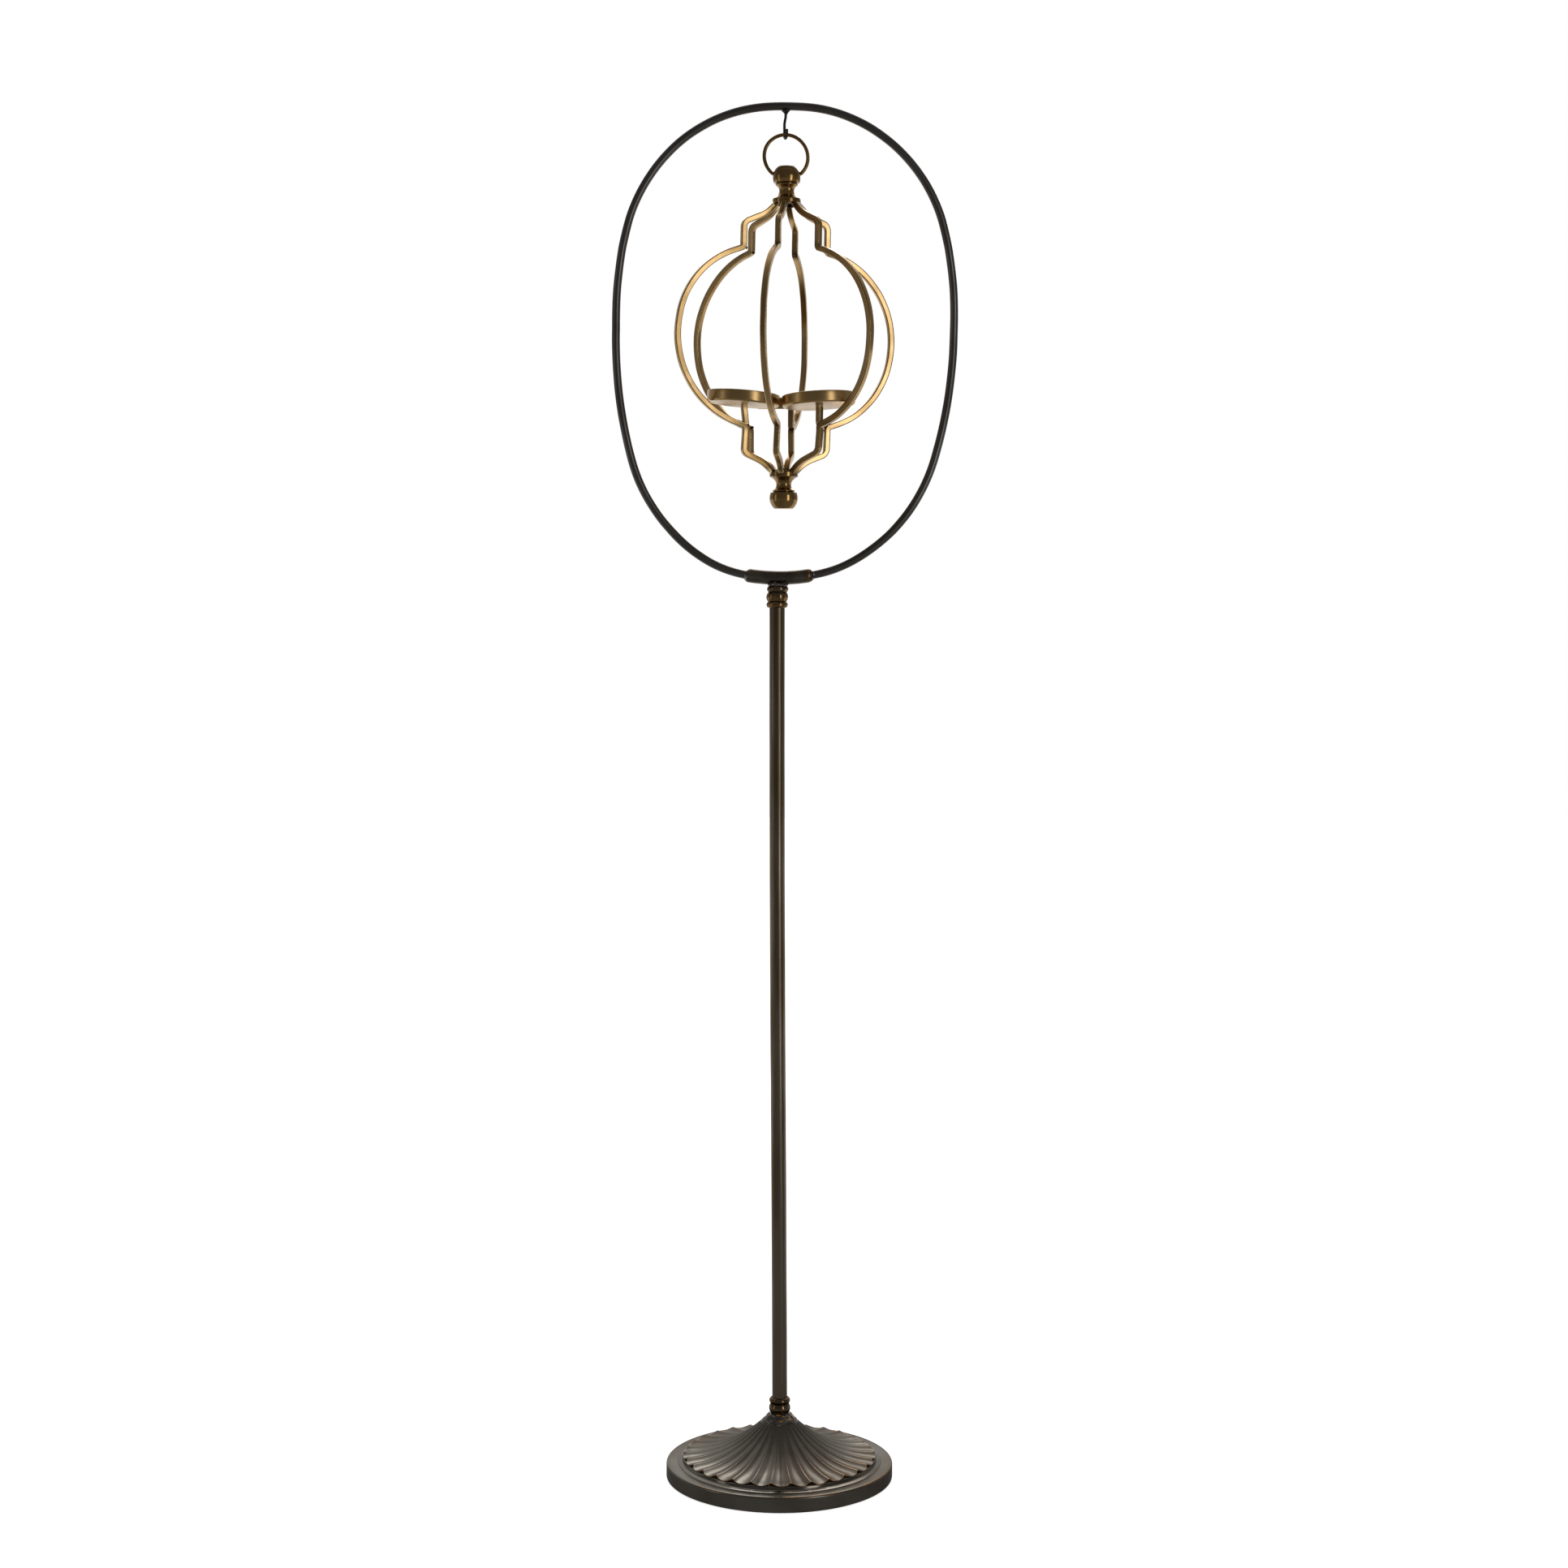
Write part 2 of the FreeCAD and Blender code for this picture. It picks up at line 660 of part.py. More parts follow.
def make_rib():
    top_shoulder_z = flange_z - top_shoulder_drop
    bottom_shoulder_z = bottom_flange_z + bottom_shoulder_rise

    def side(t):
        top = shoulder(top_neck_r, top_shoulder_z, flange_z, 1, t)
        bottom = shoulder(bottom_neck_r, bottom_shoulder_z, bottom_flange_z, -1, t)
        ends = [s[1] if isinstance(s[0], tuple) else s for s in bottom]
        steps = top[1:]
        steps.append(corner(top_neck_r, 1, t))
        steps.append(((rib_arc_centre_r + rib_arc_r + t, arc_z), corner(bottom_neck_r, -1, t)))
        steps.append(ends[-1])
        return top[0], steps + reverse_steps(bottom)

    start, outer = side(rib_half)
    inner_start, inner = side(-rib_half)
    inner_end = inner[-1]
    steps = outer + [inner_end] + reverse_steps([inner_start] + inner)
    bar = Part.Face(outline(start, steps)).extrude(Vector(0, rib_bar, 0))
    bar.translate(Vector(0, -rib_half, 0))
    kinks = [corner(top_neck_r, 1, t) for t in (rib_half, -rib_half)]
    kinks += [corner(bottom_neck_r, -1, t) for t in (rib_half, -rib_half)]
    edges = []
    for edge in bar.Edges:
        middle = edge.CenterOfMass
        at_kink = any(math.hypot(middle.x - x, middle.z - z) < 1e-3 for x, z in kinks)
        if at_kink and edge.Length < rib_bar + 1e-3:
            edges.append(edge)
    return bar.makeFillet(corner_round, edges)


plate_z = flange_z - plate_below_flange


# Puts a shape made about the plate's own middle in its place on the rib at azimuth 0.
def lean_plate(shape, drop):
    shape.rotate(Vector(0, 0, 0), Vector(0, 1, 0), -plate_lean)
    shape.translate(Vector(plate_pitch_r, 0, plate_z - drop))
    return shape


def make_plate(drop):
    inner_corner = plate_corner_r - plate_sheet
    bend = 1 - math.sqrt(0.5)
    inner_r = plate_r - plate_sheet
    return lean_plate(turned((0, 0), [
        (plate_r - plate_corner_r, 0),
        ((plate_r - plate_corner_r * bend, plate_corner_r * bend), (plate_r, plate_corner_r)),
        (plate_r, plate_depth),
        (inner_r, plate_depth),
        (inner_r, plate_sheet + inner_corner),
        ((inner_r - inner_corner * bend, plate_sheet + inner_corner * bend),
         (inner_r - inner_corner, plate_sheet)),
        (0, plate_sheet),
    ]), drop)


def make_stem(drop):
    foot_z = corner(bottom_neck_r, -1, -rib_half)[1] - stem_foot
    block = Part.makeBox(stem_bar, stem_bar, plate_z + plate_depth - foot_z)
    block.translate(Vector(plate_pitch_r - stem_bar / 2, -stem_bar / 2, foot_z))
    above = lean_plate(Part.makeCylinder(plate_r, 3 * plate_depth), drop)
    return block.cut(above).cut(rib)


def at_angle(shape, angle):
    placed = shape.copy()
    placed.rotate(Vector(0, 0, 0), AXIS_Z, angle)
    return placed


top_finial = save("top_finial", make_top_finial())
save("bottom_finial", make_bottom_finial())
rib = make_rib()
for number, angle in enumerate(rib_angles, 1):
    save(f"rib_{number}", at_angle(rib, angle))
for number, (rib_number, drop) in enumerate(zip(plated_ribs, plate_drops), 1):
    angle = rib_angles[rib_number - 1]
    save(f"plate_stem_{number}", at_angle(make_stem(drop), angle))
    save(f"candle_plate_{number}", at_angle(make_plate(drop), angle))

print(f"height {hoop_top_z + hoop_bar_r:.2f}  flange z {flange_z:.2f}  plates z {plate_z:.2f}")
print(f"saddle z {saddle_z:.3f}  pins z {pin_z:.3f}")
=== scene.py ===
import math
import bmesh
import bpy
from mathutils import Matrix, Vector, noise


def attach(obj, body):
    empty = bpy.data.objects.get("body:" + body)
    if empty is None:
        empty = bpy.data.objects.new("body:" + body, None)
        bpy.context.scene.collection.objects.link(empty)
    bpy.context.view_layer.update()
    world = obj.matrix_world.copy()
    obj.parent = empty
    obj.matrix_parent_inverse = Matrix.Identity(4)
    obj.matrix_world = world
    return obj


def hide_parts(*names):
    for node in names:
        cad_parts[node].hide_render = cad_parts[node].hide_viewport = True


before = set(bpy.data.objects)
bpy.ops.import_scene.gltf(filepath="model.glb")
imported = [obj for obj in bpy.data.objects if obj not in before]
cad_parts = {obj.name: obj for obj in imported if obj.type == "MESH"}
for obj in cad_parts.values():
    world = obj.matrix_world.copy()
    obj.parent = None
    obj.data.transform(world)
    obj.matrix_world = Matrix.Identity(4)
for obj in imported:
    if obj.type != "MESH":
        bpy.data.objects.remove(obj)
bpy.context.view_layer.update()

print("frame loaded")

# Pieces are drawn in millimetres and brought to metres when they are finished.
toMetres = 0.001


# ---- camera, room and lamps ----

camera = {
    "place": (0.0016, -2.9438, 0.9876),
    "pitch": 4.011,  # degrees down
    "roll": 0.27,
    "lens": 61.264,
}


def turnAbout(axis, degrees, size=3):
    return Matrix.Rotation(math.radians(degrees), size, axis)


def makeCamera():
    data = bpy.data.cameras.new("photoCamera")
    data.lens = camera["lens"]
    data.sensor_width = 36
    data.clip_end = 100
    eye = bpy.data.objects.new("photoCamera", data)
    eye.location = camera["place"]
    eye.rotation_euler = (turnAbout("X", 90 - camera["pitch"]) @ turnAbout("Z", camera["roll"])).to_euler()
    bpy.context.scene.collection.objects.link(eye)
    bpy.context.scene.camera = eye


makeCamera()
print("camera placed")


# Gives a function that adds a node to the tree, fills its inputs with values or links, and returns its output.
def nodeMaker(owner):
    owner.use_nodes = True
    tree = owner.node_tree
    tree.nodes.clear()

    def add(kind, inputs=None, output=0, **settings):
        node = tree.nodes.new("ShaderNode" + kind)
        for key, value in settings.items():
            setattr(node, key, value)
        for key, value in (inputs or {}).items():
            if isinstance(value, bpy.types.NodeSocket):
                tree.links.new(value, node.inputs[key])
            else:
                node.inputs[key].default_value = value
        return node.outputs[output] if node.outputs else node
    return add


def grey(value):
    return (value, value, value, 1.0)


def colour(code):
    parts = [int(code[k:k + 2], 16) / 255 for k in (1, 3, 5)]
    return tuple(p / 12.92 if p <= 0.04045 else ((p + 0.055) / 1.055) ** 2.4 for p in parts) + (1.0,)


def rangeNode(add, value, low, high, outLow=0.0, outHigh=1.0, shape="SMOOTHSTEP"):
    return add("MapRange", {"Value": value, "From Min": low, "From Max": high, "To Min": outLow, "To Max": outHigh},
               interpolation_type=shape)


def mixNode(add, factor, a, b):
    return add("Mix", {"Factor": factor, "A": a, "B": b}, "Result", data_type="RGBA")


def noiseNode(add, coords, scale, detail=4.0, stretch=(1, 1, 1)):
    place = add("Mapping", {"Vector": coords, "Scale": stretch})
    return add("TexNoise", {"Vector": place, "Scale": scale, "Detail": detail, "Roughness": 0.55}, "Fac")


room = {
    "front": 0.13,  # how bright the camera's side of the room is
    "side": 0.26,
    "back": 1.0,
    "above": 0.3,
    "fill": 0.75,  # what matt surfaces get
    "stops": (0.2, 0.5, 0.76),  # where front, side and back lie on the way from front to back
    "sheet": (0.25, 0.75, 0.22),  # where the bright sheet fades to the sides, and what is left of it
    "lid": 0.94,  # from here up the room is as bright as above
}


def makeWorld():
    world = bpy.data.worlds.new("paleStudio")
    add = nodeMaker(world)
    way = add("SeparateXYZ", {0: add("TexCoord", output="Generated")}).node.outputs
    ramp = add("ValToRGB", {0: rangeNode(add, way["Y"], -1.0, 1.0, shape="LINEAR")})
    ramp.node.color_ramp.interpolation = "EASE"
    stops = ramp.node.color_ramp.elements
    frontAt, sideAt, backAt = room["stops"]
    stops[0].position = frontAt
    stops[0].color = grey(room["front"])
    stops[1].position = backAt
    stops[1].color = grey(room["back"])
    stops.new(sideAt).color = grey(room["side"])
    full, faded, left = room["sheet"]
    off = add("Math", {0: way["X"]}, operation="ABSOLUTE")
    backdrop = mixNode(add, rangeNode(add, off, full, faded, 1.0, left), grey(room["front"]), ramp)
    up = rangeNode(add, way["Z"], room["lid"], 1.0, shape="LINEAR")
    shiny = add("Background", {"Color": mixNode(add, up, backdrop, grey(room["above"])), "Strength": 1.0})
    seen = add("Background", {"Color": grey(1.0), "Strength": 1.0})
    matt = add("Background", {"Color": grey(1.0), "Strength": room["fill"]})
    path = add("LightPath").node.outputs
    lit = add("MixShader", {0: path["Is Glossy Ray"], 1: matt, 2: shiny})
    direct = add("Math", {0: path["Is Camera Ray"], 1: path["Is Transmission Ray"]}, operation="MAXIMUM")
    add("OutputWorld", {"Surface": add("MixShader", {0: direct, 1: lit, 2: seen})})
    world.cycles.sampling_method = "NONE"  # so that matt and shiny surfaces each see their own room
    bpy.context.scene.world = world
    bpy.context.scene.view_settings.view_transform = "Standard"


makeWorld()

lamps = {
    # name: place, what it faces, width, height, watts
    "boxRight": ((1.85, -2.3, 1.05), (0, 0, 0.85), 0.7, 2.4, 14.0),
    "boxLeft": ((-2.8, -1.0, 1.1), (0, 0, 0.8), 0.5, 2.2, 3.0),
    "boxAbove": ((0.15, 2.4, 2.2), (0, 0, 0.4), 1.4, 1.1, 15.0),
}


def makeLamps():
    for name, (place, target, width, height, watts) in lamps.items():
        data = bpy.data.lights.new(name, "AREA")
        data.shape = "RECTANGLE"
        data.size = width
        data.size_y = height
        data.energy = watts
        lamp = bpy.data.objects.new(name, data)
        lamp.location = place
        aim = Vector(target) - Vector(place)
        lamp.rotation_euler = aim.to_track_quat("-Z", "Y").to_euler()
        lamp.visible_camera = False
        bpy.context.scene.collection.objects.link(lamp)


makeLamps()

floor = {
    "half": 9.0,
    "glow": 0.8,
    "paint": 0.55,
    "bounce": 0.8,
    "near": 0.2,  # what shiny surfaces see of it in front of the lamp and behind it
    "far": 0.9,
    "change": (-0.1, 0.8),  # where near turns to far
}


def makeFloor():
    paint = bpy.data.materials.new("floorPaint")
    add = nodeMaker(paint)
    glow = add("Emission", {"Color": grey(1.0), "Strength": floor["glow"]})
    matt = add("BsdfDiffuse", {"Color": grey(floor["paint"])})
    bounce = add("BsdfDiffuse", {"Color": grey(floor["bounce"])})
    place = add("SeparateXYZ", {0: add("TexCoord", output="Object")}).node.outputs
    depth = rangeNode(add, place["Y"], *floor["change"], floor["near"], floor["far"])
    mirrored = add("Emission", {"Color": grey(1.0), "Strength": depth})
    path = add("LightPath").node.outputs
    seen = add("MixShader", {0: path["Is Camera Ray"], 1: bounce, 2: add("AddShader", {0: glow, 1: matt})})
    add("OutputMaterial", {"Surface": add("MixShader", {0: path["Is Glossy Ray"], 1: seen, 2: mirrored})})
    paint.cycles.emission_sampling = "NONE"
    bm = bmesh.new()
    bmesh.ops.create_grid(bm, x_segments=4, y_segments=4, size=floor["half"])
    mesh = bpy.data.meshes.new("floor")
    bm.to_mesh(mesh)
    bm.free()
    mesh.materials.append(paint)
    ground = bpy.data.objects.new("floor", mesh)
    bpy.context.scene.collection.objects.link(ground)


makeFloor()
print("room, lamps and floor made")


# ---- finishes ----

# A metal finish: a ground colour clouded by a second one, darker in the hollows with dirt and painted shade,
# and rubbed through to a bright metal on the edges. The points' own wear, dirt and painted shade, and polish say
# where.
def metalFinish(name, ground, cloud, dirtAndShade, rub, rough, cloudScale, bump, streak=(1, 1, 1), grainScale=260.0,
                bumpScale=420.0, rubFrom=0.35, rubTo=0.8, speck=None, speckAt=(0.66, 0.72), speckScale=700.0,
                edge=1.0):
    made = bpy.data.materials.new(name)
    add = nodeMaker(made)
    coords = add("TexCoord", output="Object")
    clouds = noiseNode(add, coords, cloudScale, 5.0, streak)
    fine = noiseNode(add, coords, grainScale, 3.0, streak)
    wearTag, dirtAndShadeTag, polishTag = [add("Attribute", output="Fac", attribute_name=tag)
                                   for tag in ("wear", "dirtAndShade", "polish")]

    def both(operation, a, b):
        return add("Math", {0: a, 1: b}, operation=operation)

    base = mixNode(add, rangeNode(add, clouds, 0.38, 0.66), colour(ground), colour(cloud))
    # dirt and painted shade: the marked hollows and shaded spots are darkened towards the dirt-and-shade colour
    base = mixNode(add, both("MULTIPLY", dirtAndShadeTag, rangeNode(add, fine, 0.2, 0.7, 0.7, 1.0)), base, colour(dirtAndShade))
    worn = both("MULTIPLY", wearTag, rangeNode(add, clouds, 0.3, 0.65, 0.55, 1.15))
    worn = both("ADD", worn, rangeNode(add, fine, 0.3, 0.7, -0.12, 0.12))
    base = mixNode(add, rangeNode(add, worn, rubFrom, rubTo), base, colour(rub))
    if speck:
        specks = rangeNode(add, noiseNode(add, coords, speckScale, 1.0), *speckAt)
        base = mixNode(add, specks, base, colour(speck))
    gloss = both("MULTIPLY", rangeNode(add, clouds, 0.3, 0.7, *rough), rangeNode(add, polishTag, 0.0, 1.0, 1.0, 0.45))
    rise = noiseNode(add, coords, bumpScale, 3.0, streak)
    lift = add("Bump", {"Strength": bump, "Distance": 0.0006, "Height": rise})
    shader = add("BsdfPrincipled", {"Metallic": 1.0, "Base Color": base, "Roughness": gloss, "Normal": lift,
                                    "Specular Tint": grey(edge)})  # the tint dulls what is seen edge on
    add("OutputMaterial", {"Surface": shader})
    return made


finishes = {
    "castBronze": dict(ground="#767168", cloud="#615950", dirtAndShade="#2e2822", rub="#93704a", rough=(0.26, 0.34), edge=0.6,
                       cloudScale=9.0, speck="#8c867c", speckAt=(0.78, 0.84), bump=0.03, bumpScale=220.0),
    "collarBronze": dict(ground="#846f55", cloud="#625240", dirtAndShade="#231b14", rub="#b58a50", rough=(0.1, 0.17),
                         edge=0.55, cloudScale=40.0, bump=0.05),
    "tubeBronze": dict(ground="#7f7364", cloud="#655643", dirtAndShade="#2a241d", rub="#c7a36b", rough=(0.24, 0.34), edge=0.6,
                       cloudScale=60.0, streak=(1, 1, 0.1), grainScale=300.0, bump=0.03),
    "hoopBronze": dict(ground="#6a6763", cloud="#5a5651", dirtAndShade="#1e1b18", rub="#8d7350", rough=(0.3, 0.4), edge=0.7,
                       cloudScale=12.0, bump=0.0),
    "sleeveBronze": dict(ground="#72695e", cloud="#57504a", dirtAndShade="#15110d", rub="#7d5c3a", rough=(0.24, 0.36),
                         edge=0.6, cloudScale=50.0, bump=0.07),
    "brazeMetal": dict(ground="#56514b", cloud="#85807a", dirtAndShade="#1f1c19", rub="#9a938a", rough=(0.06, 0.2),
                       cloudScale=120.0, bump=0.15, bumpScale=300.0, speck="#dca45c", speckAt=(0.67, 0.7),
                       speckScale=210.0),
    "hookIron": dict(ground="#35322f", cloud="#4a453f", dirtAndShade="#171615", rub="#77716a", rough=(0.3, 0.44),
                     cloudScale=90.0, bump=0.1),
    "ringBrass": dict(ground="#8d6f43", cloud="#6b5232", dirtAndShade="#2c2014", rub="#c79a55", rough=(0.2, 0.34),
                      cloudScale=60.0, bump=0.06),
    "ribBrass": dict(ground="#c5a473", cloud="#a58553", dirtAndShade="#3a2812", rub="#ecd5a2", rough=(0.2, 0.28),
                     cloudScale=14.0, grainScale=320.0, bump=0.0, rubFrom=0.3, rubTo=1.1),
    "plateBrass": dict(ground="#bf9e6c", cloud="#a98a57", dirtAndShade="#3c2b16", rub="#e6d0a2", rough=(0.27, 0.33),
                       cloudScale=16.0, streak=(1, 1, 0.5), bump=0.0, rubFrom=0.3, rubTo=1.2),
    "finialBrass": dict(ground="#a08050", cloud="#745933", dirtAndShade="#2b1f0f", rub="#dcbf85", rough=(0.16, 0.25),
                        cloudScale=34.0, bump=0.02, rubFrom=0.3, rubTo=1.1),
    "solderSeam": dict(ground="#4a3b26", cloud="#7a6238", dirtAndShade="#1c150d", rub="#c9aa70", rough=(0.25, 0.4),
                       cloudScale=200.0, bump=0.15, bumpScale=300.0),
    "rawIron": dict(ground="#4a4744", cloud="#5d5145", dirtAndShade="#2b2623", rub="#8c8781", rough=(0.45, 0.7),
                    cloudScale=30.0, bump=0.3),
    "zincSteel": dict(ground="#a9abab", cloud="#8f9293", dirtAndShade="#55575a", rub="#d5d7d8", rough=(0.25, 0.4),
                      cloudScale=80.0, bump=0.1),
}
metals = {name: metalFinish(name, **settings) for name, settings in finishes.items()}


def feltFinish():
    made = bpy.data.materials.new("greenFelt")
    add = nodeMaker(made)
    coords = add("TexCoord", output="Object")
    hairs = noiseNode(add, coords, 900.0, 6.0, (1, 0.4, 1))
    clumps = noiseNode(add, coords, 90.0)
    tone = mixNode(add, rangeNode(add, clumps, 0.3, 0.7), colour("#232621"), colour("#2f332c"))
    tone = mixNode(add, rangeNode(add, hairs, 0.55, 0.75), tone, colour("#474b42"))
    lift = add("Bump", {"Strength": 0.6, "Distance": 0.0005, "Height": hairs})
    shader = add("BsdfPrincipled", {"Base Color": tone, "Roughness": 0.95, "Sheen Weight": 0.5, "Normal": lift})
    add("OutputMaterial", {"Surface": shader})
    return made


metals["felt"] = feltFinish()
print("finishes made")


# ---- ways of shaping ----

# A chain of points through the given ones, rounded, with so many steps between two of them.
def curveThrough(points, steps=6):
    line = []
    last = len(points) - 1
    for k in range(last):
        a, b, c, d = (Vector(points[j]) for j in (max(k - 1, 0), k, k + 1, min(k + 2, last)))
        if k == 0:
            a = b + (b - c)
        if k + 2 > last:
            d = c + (c - b)
        for n in range(steps):
            t = n / steps
            line.append(0.5 * (2 * b + (c - a) * t + (2 * a - 5 * b + 4 * c - d) * t * t
                               + (3 * b - a - 3 * c + d) * t ** 3))
    line.append(Vector(points[-1]))
    return [tuple(p) for p in line]


# Points of an arc in a plane: centre, radius, from one angle to another in degrees.
def arcPoints(centre, radius, start, end, steps):
    angles = [math.radians(start + (end - start) * n / steps) for n in range(steps + 1)]
    return [(centre[0] + radius * math.cos(a), centre[1] + radius * math.sin(a)) for a in angles]


# A new mesh from an outline of radius and height, turned round the upright axis.
def turned(outline, steps, closed=True):
    bm = bmesh.new()
    start = [bm.verts.new((r, 0, z)) for r, z in outline]
    pairs = list(zip(start, start[1:]))
    if closed:
        pairs.append((start[-1], start[0]))
    chain = [bm.edges.new(pair) for pair in pairs]
    bmesh.ops.spin(bm, geom=start + chain, axis=(0, 0, 1), cent=(0, 0, 0), angle=math.tau, steps=steps,
                   use_merge=True)
    bmesh.ops.remove_doubles(bm, verts=bm.verts, dist=1e-4)
    bmesh.ops.recalc_face_normals(bm, faces=bm.faces)
    return bm


# Where each point of a bar's path lies, which way across it is there, and what is square to both.
def upFrames(path, square, closed):
    frames = []
    count = len(path)
    for k, here in enumerate(path):
        before = path[k - 1] if k > 0 or closed else here
        after = path[(k + 1) % count] if k < count - 1 or closed else here
        into = (here - before).normalized() if (here - before).length > 1e-9 else None
        outOf = (after - here).normalized() if (after - here).length > 1e-9 else None
        into = into or outOf
        outOf = outOf or into
        along = (into + outOf).normalized()
        across = square.cross(along).normalized()
        stretch = 1 / max(0.5, along.dot(outOf))
        frames.append((here, across * stretch, square))
    return frames


# A new mesh: a straight bar of the given section is drawn out step by step and then bent to the path, which
# lies in the plane that is square to the given direction. girth thins or thickens it at each point.
def bendBar(section, path, square, girth=None, closed=False):
    bm = bmesh.new()
    ring = [bm.verts.new((u, v, 0)) for u, v in section]
    chain = [bm.edges.new(pair) for pair in zip(ring, ring[1:] + ring[:1])]
    for _ in path[1:]:
        grown = bmesh.ops.extrude_edge_only(bm, edges=chain)["geom"]
        new = {g for g in grown if isinstance(g, bmesh.types.BMVert)}
        chain = [g for g in grown if isinstance(g, bmesh.types.BMEdge) and set(g.verts) <= new]
        bmesh.ops.translate(bm, verts=list(new), vec=(0, 0, 1))
    ends = [e for e in bm.edges if e.is_boundary]
    if closed:
        bmesh.ops.bridge_loops(bm, edges=ends)
    else:
        bmesh.ops.holes_fill(bm, edges=ends, sides=0)
    frames = upFrames(path, square, closed)
    for vert in bm.verts:
        k = round(vert.co.z)
        here, across, side = frames[k]
        thick = girth[k] if girth else 1.0
        vert.co = here + across * (vert.co.x * thick) + side * (vert.co.y * thick)
    bmesh.ops.recalc_face_normals(bm, faces=bm.faces)
    return bm


def roundSection(radius, sides):
    return arcPoints((0, 0), radius, 0, 360, sides)[:-1]


def reach(vert):
    return vert.co.to_2d().length


# A square section with rounded corners and a point beside each of them.
def squareSection(width, corner):
    half = width / 2
    points = []
    for quarter in range(4):
        turn = math.radians(90 * quarter)
        local = [(half, corner + 0.5 - half), (half, half - corner - 0.5)]
        local += arcPoints((half - corner, half - corner), corner, 0, 90, 3)
        for x, y in local:
            points.append((x * math.cos(turn) - y * math.sin(turn), x * math.sin(turn) + y * math.cos(turn)))
    return points


def planePath(points, angle=0.0, offset=(0, 0, 0)):
    a = math.radians(angle)
    return [Vector((x * math.cos(a), x * math.sin(a), z)) + Vector(offset) for x, z in points]


noise.seed_set(1)  # or else noise_vector differs from run to run


# Hand work is never quite true: moves every point a little by a slow noise.
def unsettle(verts, amount, scale, seed=0.0):
    shift = Vector((seed * 13.7, seed * 5.1, seed * 9.3))
    for vert in verts:
        vert.co += noise.noise_vector(vert.co * scale + shift) * amount


# A lump of braze or solder.
def lump(bm, centre, size, seed, detail=3):
    for vert in bmesh.ops.create_icosphere(bm, subdivisions=detail, radius=1.0)["verts"]:
        swell = 1 + 0.35 * noise.noise(vert.co * 1.8 + Vector((seed * 7.1, seed * 3.3, seed)))
        vert.co = Vector(centre) + vert.co * Vector(size) * swell


# Marks how much a point stands out or lies in, so that its finish can rub through there, or be darkened there with
# dirt and painted shade.
def markWear(bm, rubGain, dirtAndShadeGain, extra=None):
    wear = bm.verts.layers.float.get("wear") or bm.verts.layers.float.new("wear")
    dirtAndShade = bm.verts.layers.float.get("dirtAndShade") or bm.verts.layers.float.new("dirtAndShade")
    polish = bm.verts.layers.float.get("polish") or bm.verts.layers.float.new("polish")
    bm.normal_update()
    for vert in bm.verts:
        bend = 0.0
        for edge in vert.link_edges:
            other = edge.other_vert(vert)
            way = other.co - vert.co
            if way.length > 1e-7:
                bend -= vert.normal.dot(way.normalized())
        bend /= max(1, len(vert.link_edges))
        vert[wear] = max(0.0, min(1.0, bend * rubGain))
        # a point that lies in gets dirt and painted shade
        vert[dirtAndShade] = max(0.0, min(1.0, -bend * dirtAndShadeGain))
        if extra:
            more, less, *shine = extra(vert)
            vert[wear] = max(0.0, min(1.0, vert[wear] + more))
            vert[dirtAndShade] = max(0.0, min(1.0, vert[dirtAndShade] + less))
            vert[polish] = shine[0] if shine else 0.0


# The value at a height between stops of height and value, straight from one to the next or softly.
def between(stops, z, soft=False):
    for (z0, d0), (z1, d1) in zip(stops, stops[1:]):
        if z0 <= z <= z1:
            t = (z - z0) / (z1 - z0)
            return d0 + (d1 - d0) * (t * t * (3 - 2 * t) if soft else t)
    return 0.0


# How far to the right things sit at each height, in millimetres. The pole leans a little to the left and
# the hoop comes back; the lantern hangs a little out of plumb.
sideways = {
    "stand": [(90.0, 0.0), (168.0, -0.6), (325.0, -2.0), (500.0, -3.9), (675.0, -5.4), (850.0, -6.4),
              (985.0, -6.9), (1000.0, -6.2), (1012.0, -5.0), (1060.0, -2.4), (1300.0, 0.5), (1440.0, 0.5),
              (1484.0, 0.0), (1524.0, 0.2)],
    "lantern": [(1000.0, -0.3), (1300.0, -0.2), (1385.0, 1.0), (1415.0, 1.5), (1445.0, 1.5), (1480.0, 0.0)],
}
sideways["ring"] = sideways["lantern"]


def finishPiece(bm, name, body, nodes, finish, sharp=40.0, rub=3.0, dirtAndShade=3.0, extra=None):
    markWear(bm, rub, dirtAndShade, extra)
    for vert in bm.verts:
        vert.co.x += between(sideways[body], vert.co.z)
    bmesh.ops.scale(bm, vec=(toMetres, toMetres, toMetres), verts=bm.verts)
    mesh = bpy.data.meshes.new(name)
    bm.to_mesh(mesh)
    bm.free()
    mesh.materials.append(metals[finish])
    mesh.shade_smooth()
    mesh.set_sharp_from_angle(angle=math.radians(sharp))
    piece = bpy.data.objects.new(name, mesh)
    bpy.context.scene.collection.objects.link(piece)
    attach(piece, body)
    if nodes:
        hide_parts(*nodes)
    return piece


# ---- base ----

